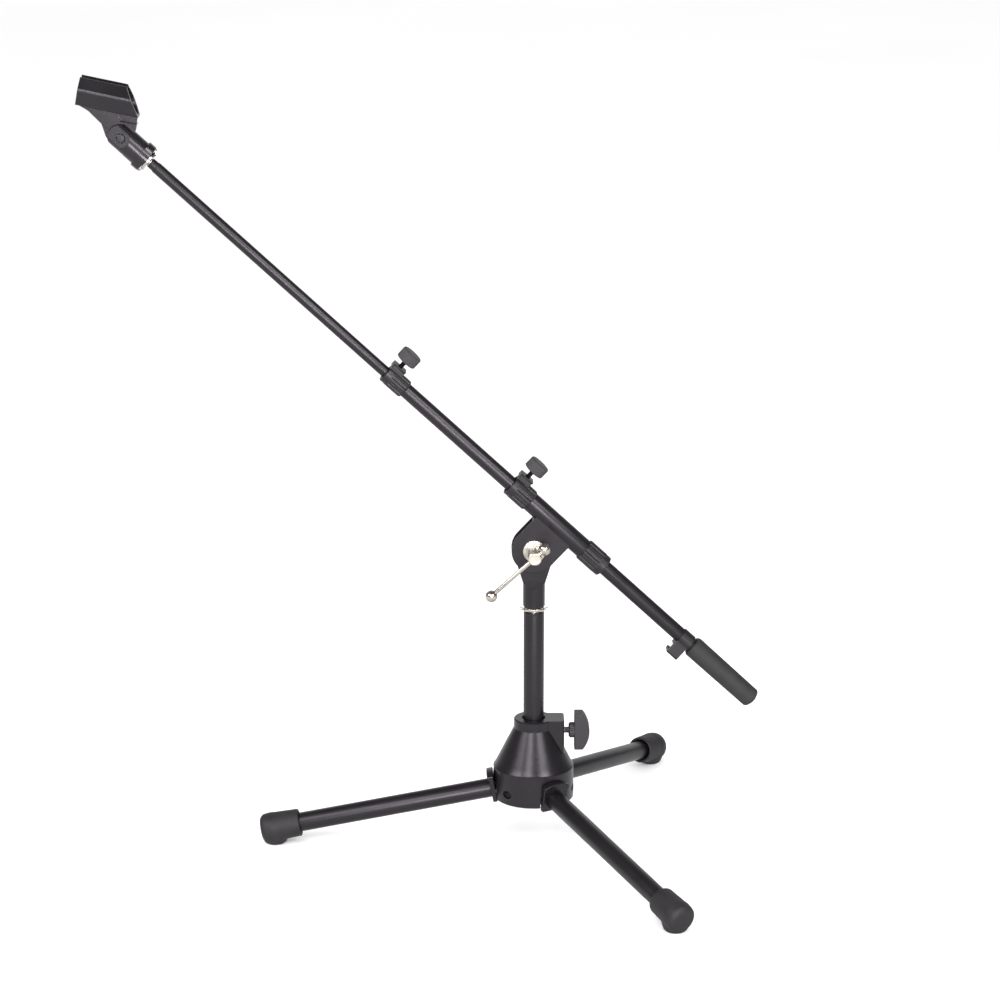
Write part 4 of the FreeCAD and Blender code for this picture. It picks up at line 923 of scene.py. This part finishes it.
def foot(index, place, body):
    """A rubber cap: a recessed mouth, and walls that swell to a bulb that stands on the floor."""
    node = "foot_cap_%d" % index
    tube_high = reach("leg_tube_%d" % index, place)[1]
    cap_low, cap_high = reach(node, place)
    radius = cap_high[0]
    start = cap_low[2]
    end = tube_high[2] + 7.2
    tube_radius = tube_high[0]
    bm = bmesh.new()
    lathe(bm, rounded([
        (tube_radius, start + 5.0, 0.2), (tube_radius + 1.2, start + 4.0, 0.4),
        (tube_radius + 1.6, start + 0.5, 0.5), (radius - 2.2, start, 0.5),
        (radius - 1.1, start + 1.0, 0.9), (radius - 0.9, start + 6.0, 3.0),
        (radius - 0.1, end - 19.0, 6.0), (radius + 0.5, end - 12.5, 7.0),
        (radius - 0.3, end - 4.2, 4.0), (radius - 4.6, end - 0.4, 4.0), (0, end, 0),
        (0, tube_high[2] + 0.1, 0), (tube_radius, tube_high[2] + 0.1, 0.3),
    ], 0.4, steps=7), 96)
    outward = Vector((place.translation.x, place.translation.y, 0)).normalized()
    pad = place.inverted() @ frame_of(pad_point(index), outward, (0, 0, 1))
    pad.translation /= MM
    # The end swells down to the floor, so that the pad and the cap are one bulb.
    lathe(bm, rounded([
        (0, 0, 0), (10.6, 0, 0.8), (12.8, 2.6, 3.0), (14.6, 9.0, 6.0),
        (14.8, 17.0, 6.0), (12.0, 27.0, 6.0), (0, 31.5, 0),
    ], 0.4, closed=False), 64, closed=False, place=pad)
    made = piece(node + "_moulded", bm, place, "feet_rubber", body, node, flat=False)
    blend = made.modifiers.new("one_skin", "REMESH")
    blend.mode = "VOXEL"
    blend.voxel_size = 0.7 * MM
    blend.use_smooth_shade = True
    ease = made.modifiers.new("soft_joins", "SMOOTH")
    ease.factor = 0.5
    ease.iterations = 10


def arch(half, top, radius, bottom, corner):
    """An upright plate's outline with an arched top, from its lower left corner round."""
    side = math.asin(half / radius)
    over = arc(radius, math.pi / 2 - side, math.pi / 2 + side, 16, (0.0, top - radius))
    return rounded([(-half, bottom, 1.5), (half, bottom, 1.5)] + cornered(over, corner), 0.0, steps=5)


def fitting(index, place, body):
    """The leg's die-cast end: a tongue for the pivot bolt, and an arch-topped flange."""
    node = "leg_fitting_%d" % index
    low, high = reach(node, place)
    tube_low, tube_high = reach("leg_tube_%d" % index, place)
    half = high[0]
    drop = low[1]
    rise = high[1]
    face = tube_low[2] - 0.1
    back = face - 5.0
    lip = 1.7
    top_radius = 30.0
    corner = 2.5
    bm = bmesh.new()
    prism(bm, arch(half, rise, top_radius, drop, corner), back, face, 0.9)
    prism(bm, arch(half - 0.1, rise, top_radius, rise - 8.5, corner), face - 2.0, face + lip, 0.9)
    tube_radius = tube_high[0]
    spigot_end = face + 28.0
    lathe(bm, rounded([
        (0, face - 1.0, 0), (tube_radius + 1.0, face - 1.0, 0), (tube_radius + 0.8, face + 0.2, 0.3),
        (tube_radius - 0.6, face + 0.2, 0.1), (tube_radius - 1.6, spigot_end, 0.4), (0, spigot_end, 0),
    ], 0.2, closed=False), 72, closed=False)
    tongue = 9.0
    outline = [(back + 1.0, tongue), (back + 1.0, -tongue)]
    outline += arc(tongue, -math.pi / 2, -3 * math.pi / 2, 24)
    # The tongue's outline is in the leg's ZY plane, so the prism's Z is turned on to its X.
    stand = Matrix(((0, 0, 1, 0), (0, 1, 0, 0), (1, 0, 0, 0), (0, 0, 0, 1)))
    prism(bm, outline, -7.0, 7.0, 0.6, place=stand)
    made = piece(node + "_cast", bm, place, "casting", body, node)
    cut_holes(made, turn(90, "Y"), (3.05, -12, 12, 40))


for leg_index in (1, 2, 3):
    leg(leg_index)


def leg_bolt(index):
    """The pivot bolt, with a hexagon socket in its head."""
    node = "leg_bolt_%d" % index
    place = leg_frame(index)
    low, high = reach(node, place)
    along = 1.0 if high[0] > -low[0] else -1.0
    axis = frame_of(place.translation, (0, 0, 1), place.to_3x3().col[0] * along)
    low, high = reach(node, axis)
    head = high[0]
    end = high[2]
    socket = 2.3

    def six(angle, r, z):
        return (r * hexagonal(angle) * 0.9 if r == socket else r), z

    bm = bmesh.new()
    outline = rounded([
        (0, low[2], 0), (3.0, low[2], 0.4), (3.0, end - 5.8, 0.1), (head, end - 5.8, 0.3),
        (head, end - 0.5, 0.5), (3.0, end, 0.2),
    ], 0.2, closed=False)
    outline += [(socket, end), (socket, end - 3.4), (0, end - 4.2)]
    lathe(bm, outline, 48, closed=False, shape=six)
    piece(node + "_socket", bm, axis, "black_bolt", "base", node, flat=False)


for leg_index in (1, 2, 3):
    leg_bolt(leg_index)


# ---------------------------------------------------------------- wing screw
def wing():
    """A half-round wing on a ribbed hub, and its threaded stud."""
    low, high = reach("wing_knob", WING)
    hub_start = low[2]
    face = 44.0
    end = high[2]
    half = high[0]
    thick = high[1]
    flat_end = 9.0
    sag = end - face - flat_end
    radius = (half ** 2 + sag ** 2) / (2 * sag)
    side = math.asin(half / radius)
    over = arc(radius, math.pi / 2 + side, math.pi / 2 - side, 28, (0.0, end - radius))
    outline = rounded([(half, face, 1.2), (-half, face, 1.2)] + cornered(over, 1.6), 0.0, steps=6)
    bm = bmesh.new()
    prism(bm, outline, -thick, thick, 1.9, place=ON_XZ, segments=5)
    hub = 8.4

    def ribs(angle, r, z):
        if r < hub - 0.2:
            return r, z
        return r - 0.45 * (0.5 - 0.5 * math.cos(angle * 22)) ** 2, z

    lathe(bm, rounded([
        (3.55, hub_start, 0.2), (hub - 1.4, hub_start, 0.3), (hub - 1.0, hub_start + 0.8, 0.3),
        (hub, hub_start + 1.2, 0.4), (hub, face + 0.2, 0.3), (hub - 1.6, face + 2.6, 0.8),
        (3.55, face + 2.6, 0.1),
    ], 0.3), 132, ribs)
    piece("wing_knob_moulded", bm, WING, "wing_plastic", "wing_screw", "wing_knob")
    low, high = reach("wing_stud", WING)
    bm = bmesh.new()
    threaded(bm, 3.5, 1.25, 0.42, low[2] + 0.4, hub_start + 4.0)
    piece("wing_stud_threaded", bm, WING, "zinc", "wing_screw", "wing_stud", flat=False)


wing()


# ---------------------------------------------------------------- microphone clip
def clip_base():
    """The threaded base with its notched flange, and the fork's two round-headed cheeks."""
    start = reach("clip_base", BOOM)[0][2]
    pivot = (joint_place("clip_tilt") - BOOM_FOOT).dot(BOOM_WAY) / MM
    insert = 8.05
    flange = 15.4
    flange_end = start + 9.4
    body_radius = 13.5
    head_radius = 13.9
    step_radius = 9.6
    cheek_face = 11.0
    half_slot = 5.15
    slot_radius = 13.3
    floor = pivot - slot_radius
    top = pivot + 16.0
    beyond = 20.0

    def lugs(angle, r, z):
        """Only two wide lugs of the flange stand out, above and below the boom's axis."""
        if r < body_radius + 0.3 or z > flange_end + 0.2:
            return r, z
        share = eased((abs(math.cos(angle)) - 0.62) / 0.16)
        return body_radius + 0.15 + (r - body_radius - 0.15) * share, z

    bm = bmesh.new()
    lathe(bm, dense(rounded([
        (insert, start, 0.2), (flange - 0.7, start, 0.5), (flange, start + 0.9, 0.4),
        (flange, flange_end - 0.7, 0.4), (body_radius + 0.4, flange_end, 0.2),
        (body_radius, flange_end + 0.4, 0.4), (body_radius, top, 0.5), (0, top, 0),
        (0, floor - 3.0, 0), (insert, floor - 3.0, 0.1),
    ], 0.2, steps=5), 1.2), 160, lugs)
    made = piece(
        "clip_base_moulded", bm, BOOM, "clip_plastic", "clip_fork", "clip_base", slot="collar_plastic"
    )
    middle = (0.0, pivot)
    # The round head about the pivot is what is left inside an arch.
    above = [(-beyond, pivot), (-beyond, pivot + beyond), (beyond, pivot + beyond), (beyond, pivot)]
    around_head = bmesh.new()
    prism(around_head, above + arc(head_radius, 0.0, math.pi, 48, middle), -beyond, beyond, place=ON_XZ)
    carve(made, around_head)
    # Flat sides about the pivot, with a round step down to the body.
    for side in (1, -1):
        outline = [(-beyond, pivot + beyond), (-beyond, pivot - 5.0)]
        outline += arc(step_radius, math.pi * 1.22, math.pi * 1.78, 48, middle)
        outline += [(beyond, pivot - 5.0), (beyond, pivot + beyond)]
        flat = bmesh.new()
        prism(flat, outline, *sorted((side * cheek_face, side * beyond)), place=ON_XZ)
        carve(made, flat)
    # The slot is round behind the pivot, as the tongue is, and open to the front.
    outline = [(-beyond, pivot + beyond), (-beyond, floor), (0.0, floor)]
    outline += arc(slot_radius, math.radians(-90), math.radians(-15), 48, middle)[1:-1]
    outline += [(beyond, pivot - 3.4), (beyond, pivot + beyond)]
    slot = bmesh.new()
    prism(slot, outline, -half_slot, half_slot, place=ON_XZ)
    carve(made, slot)
    across = Matrix.Translation((0, 0, pivot)) @ turn(90, "X")
    cut_holes(made, across, (2.6, -20, 20, 40), (5.3, 10.0, 14, 48))


def pivot_screw():
    """A cheese-head screw with a slot, across the fork."""
    low, high = reach("clip_pivot_screw", CLIP_PIVOT)
    end = high[2]
    head = high[0]
    bm = bmesh.new()
    lathe(bm, rounded([
        (0, low[2], 0), (2.45, low[2], 0.3), (2.45, end - 1.9, 0.1), (head, end - 1.9, 0.2),
        (head, end - 0.7, 0.5), (head - 1.2, end - 0.1, 0.5), (0, end, 0),
    ], 0.2, closed=False), 56, closed=False)
    made = piece("clip_screw_slotted", bm, CLIP_PIVOT, "dark_steel", "clip_fork", "clip_pivot_screw",
                 slot="plated")
    slot = bmesh.new()
    block(slot, (-8, -0.7, end - 1.3), (8, 0.7, end + 2), 0.05, 0.0, place=turn(39, "Z"))
    carve(made, slot)


def mic_clip():
    """The shell: a faceted trough with a slanted front, on a neck that ends in the tongue."""
    low, high = reach("mic_clip", CLIP)
    middle = 39.2
    floor = middle - 14.7
    lips = middle + 14.2
    ridge = middle + 2.0
    rear = low[0] + 1.4
    front = high[0]
    bore_radius = 13.0
    wide = 17.2
    opening = 7.5
    lip_half = 9.0
    floor_half = 11.0
    slope = 0.61
    # Outside from the near lip round the floor to the far lip, then back inside the bore.
    outside = [
        (-lip_half, lips, 0.5), (-wide, ridge, 5.0), (-floor_half, floor, 2.2), (floor_half, floor, 2.2),
        (wide, ridge, 5.0), (lip_half, lips, 0.5), (opening, lips, 0.4),
    ]
    first = math.pi / 2 - math.asin(opening / bore_radius)
    inside = arc(bore_radius, first, -math.pi - first, 40, (0.0, middle))
    section = rounded(outside + inside + [(-opening, lips, 0.4)], 0.0, steps=6)
    bm = bmesh.new()
    # The section is across the shell, so (x, y) becomes (y, z) and the prism runs along X.
    stand = Matrix(((0, 0, 1, 0), (1, 0, 0, 0), (0, 1, 0, 0), (0, 0, 0, 1)))
    prism(bm, section, rear, front, 0.55, place=stand, slant=lambda y, z: -slope * (z - floor))
    neck(bm, floor, rear)
    prism(bm, arc(12.7, 0.0, TAU, 48)[:-1], -5.0, 5.0, 0.5, place=ON_XZ)
    piece("mic_clip_moulded", bm, CLIP, "clip_plastic", "mic_clip", "mic_clip")


def neck(bm, floor, rear):
    """The neck between shell and tongue: a web with a wider, hollow-backed saddle over the fork."""
    ledge = floor - 8.5
    web = rounded([
        (rear + 2.0, floor + 0.8, 0.4), (rear + 4.0, floor - 0.4, 2.0), (-38.0, 21.2, 20.0),
        (-23.0, 11.0, 18.0), (-15.4, -3.0, 10.0), (-11.4, -5.4, 1.0), (11.0, -5.2, 1.0),
        (12.4, 3.0, 4.0), (13.2, 12.0, 3.0), (13.0, ledge, 0.4), (-4.0, ledge, 1.5),
        (-6.0, floor + 0.8, 0.4),
    ], 0.5, steps=8)
    prism(bm, web, -5.0, 5.0, 0.5, place=ON_XZ)
    # Only a thin rib joins the saddle to the shell at the back, between two deep hollows.
    rib = [(-8.0, floor - 10.0), (12.6, floor - 10.0), (12.6, floor + 0.8), (-8.0, floor + 0.8)]
    prism(bm, rib, -1.8, 1.8, 0.3, place=ON_XZ)
    over_fork = arc(14.7, math.radians(77), math.radians(152), 16)
    saddle = rounded([(13.6, floor - 8.0, 0.6), (13.0, over_fork[0][1], 0.6)] + over_fork + [
        (-22.5, 10.6, 12.0), (-38.0, 21.0, 20.0), (rear + 4.0, floor - 0.2, 2.0),
        (rear + 2.0, floor + 0.8, 0.2), (-8.0, floor + 0.8, 0.2), (-4.0, floor - 8.0, 2.0),
    ], 0.0, steps=6)
    prism(bm, saddle, -8.5, 8.5, 0.8, place=ON_XZ)


clip_base()
pivot_screw()
mic_clip()


# ---------------------------------------------------------------- CAD nodes that stay
REMAINING = {
    "hub_casting": ("casting", 0.45),
    "clutch_socket": ("casting", 0.5),
    "boom_bracket": ("powder_coat", 0.45),
    "bore_bush": ("bush_plastic", 0.4),
    "bore_cap": ("bush_plastic", 0.3),
    "clamp_pad": ("brass", 0.2),
    "friction_disc_front": ("fibre", 0.1),
    "friction_disc_rear": ("fibre", 0.1),
    "thin_tube_plug": ("bush_plastic", 0.2),
    "counterweight_core": ("core_steel", 0.4),
    "thread_insert": ("brass", 0.3),
}
for node_name, (material_name, edge) in REMAINING.items():
    node = frame["nodes"][node_name]
    node.data.materials.clear()
    node.data.materials.append(MATERIALS[material_name])
    for polygon in node.data.polygons:
        polygon.use_smooth = True
    weld = node.modifiers.new("weld", "WELD")
    weld.merge_threshold = 0.00001
    soften = node.modifiers.new("soft_edges", "BEVEL")
    soften.width = edge * MM
    soften.segments = 3
    soften.limit_method = "ANGLE"
    soften.angle_limit = math.radians(22)
    soften.use_clamp_overlap = True
    even = node.modifiers.new("flat_faces", "WEIGHTED_NORMAL")
    even.keep_sharp = True


# ---------------------------------------------------------------- stage, lights, camera
def plane(name, width, depth, place, material):
    """A flat rectangle that isn't part of the object."""
    mesh = bpy.data.meshes.new(name)
    x = width / 2
    y = depth / 2
    mesh.from_pydata([(-x, -y, 0), (x, -y, 0), (x, y, 0), (-x, y, 0)], [], [(0, 1, 2, 3)])
    mesh.materials.append(material)
    obj = bpy.data.objects.new(name, mesh)
    scene.collection.objects.link(obj)
    obj.matrix_world = place
    return obj


def only_reflected(obj):
    obj.visible_camera = False
    obj.visible_shadow = False
    obj.visible_diffuse = False
    obj.visible_transmission = False


def floor_material():
    nodes = Nodes("pale_floor")
    nodes.tones(nodes.noise(900.0), (0.90, 0.90, 0.90), (0.92, 0.92, 0.92))
    nodes.shader.inputs["Roughness"].default_value = 0.85
    nodes.shader.inputs["Specular IOR Level"].default_value = 0.1
    return nodes.material


floor = plane("floor", 60.0, 60.0, Matrix.Identity(4), floor_material())
floor.visible_glossy = False

world = bpy.data.worlds.new("studio")
world.use_nodes = True
background = world.node_tree.nodes["Background"]
background.inputs["Color"].default_value = (1.0, 1.0, 1.0, 1)
background.inputs["Strength"].default_value = 1.08
scene.world = world


def softbox(name, width, height, brightness, azimuth, elevation):
    """A soft light 3 m away. Azimuth 0 is in front of the stand, and grows to its right."""
    distance = 3.0
    middle = Vector((0.0, 0.0, 0.4))
    across = math.radians(azimuth)
    up = math.radians(elevation)
    way = Vector((math.sin(across) * math.cos(up), -math.cos(across) * math.cos(up), math.sin(up)))
    lamp = bpy.data.lights.new(name, "AREA")
    lamp.shape = "RECTANGLE"
    lamp.size = width
    lamp.size_y = height
    lamp.energy = brightness * math.pi * width * height
    obj = bpy.data.objects.new(name, lamp)
    scene.collection.objects.link(obj)
    obj.matrix_world = frame_of(middle + way * distance, Vector((0, 0, 1)).cross(way), way)


softbox("left_light", 1.4, 0.9, 9.4, -56.0, 33.0)
softbox("middle_light", 0.9, 0.8, 12.0, -17.5, 33.0)
softbox("right_light", 1.3, 0.8, 11.5, 35.0, 33.0)
softbox("front_light", 1.7, 0.30, 38.0, 5.0, 6.0)


def room():
    """What shiny faces see round the stand: a dim room, paler below than above."""
    mesh = bpy.data.meshes.new("room")
    bm = bmesh.new()
    bmesh.ops.create_uvsphere(bm, u_segments=48, v_segments=24, radius=8.0)
    bm.to_mesh(mesh)
    bm.free()
    nodes = Nodes("room")
    height = nodes.add("ShaderNodeSeparateXYZ", {"Vector": nodes.place}).outputs["Z"]
    share = nodes.span(height, 0.0, 1.0, -8.0, 8.0)
    ramp = nodes.add("ShaderNodeValToRGB", {"Fac": share})
    steps = ((0.0, 0.70), (0.36, 0.95), (0.49, 0.80), (0.56, 0.16), (1.0, 0.12))
    ramp.color_ramp.elements[0].position = steps[0][0]
    ramp.color_ramp.elements[1].position = steps[-1][0]
    for position, level in steps[1:-1]:
        ramp.color_ramp.elements.new(position)
    for element, (position, level) in zip(ramp.color_ramp.elements, steps):
        element.color = (level, level, level, 1)
    nodes.shader.inputs["Base Color"].default_value = (0, 0, 0, 1)
    nodes.link(ramp.outputs["Color"], "Emission Color")
    nodes.shader.inputs["Emission Strength"].default_value = 1.0
    mesh.materials.append(nodes.material)
    obj = bpy.data.objects.new("room", mesh)
    scene.collection.objects.link(obj)
    only_reflected(obj)


room()


def backdrop():
    """The pale wall behind the stand, for reflections at grazing angles only."""
    nodes = Nodes("backdrop")
    nodes.shader.inputs["Base Color"].default_value = (0, 0, 0, 1)
    nodes.shader.inputs["Emission Color"].default_value = (1, 1, 1, 1)
    nodes.shader.inputs["Emission Strength"].default_value = 0.9
    place = Matrix.Translation((0.0, 2.6, 0.6)) @ turn(90, "X")
    only_reflected(plane("backdrop", 4.0, 3.4, place, nodes.material))


backdrop()

CAMERA_TARGET = Vector((-0.0364, 0.0, 0.3885))
CAMERA_DISTANCE = 3.5203
CAMERA_AZIMUTH = math.radians(0.563)
CAMERA_ELEVATION = math.radians(16.136)
looking = Vector((
    math.sin(CAMERA_AZIMUTH) * math.cos(CAMERA_ELEVATION),
    math.cos(CAMERA_AZIMUTH) * math.cos(CAMERA_ELEVATION),
    -math.sin(CAMERA_ELEVATION),
))
lens = bpy.data.cameras.new("camera")
lens.lens = 119.26
lens.sensor_width = 36.0
lens.clip_start = 0.05
lens.clip_end = 200.0
camera = bpy.data.objects.new("camera", lens)
scene.collection.objects.link(camera)
camera.location = CAMERA_TARGET - looking * CAMERA_DISTANCE
camera.rotation_mode = "QUATERNION"
camera.rotation_quaternion = looking.to_track_quat("-Z", "Y")
scene.camera = camera
scene.view_settings.view_transform = "Standard"

bpy.context.view_layer.update()
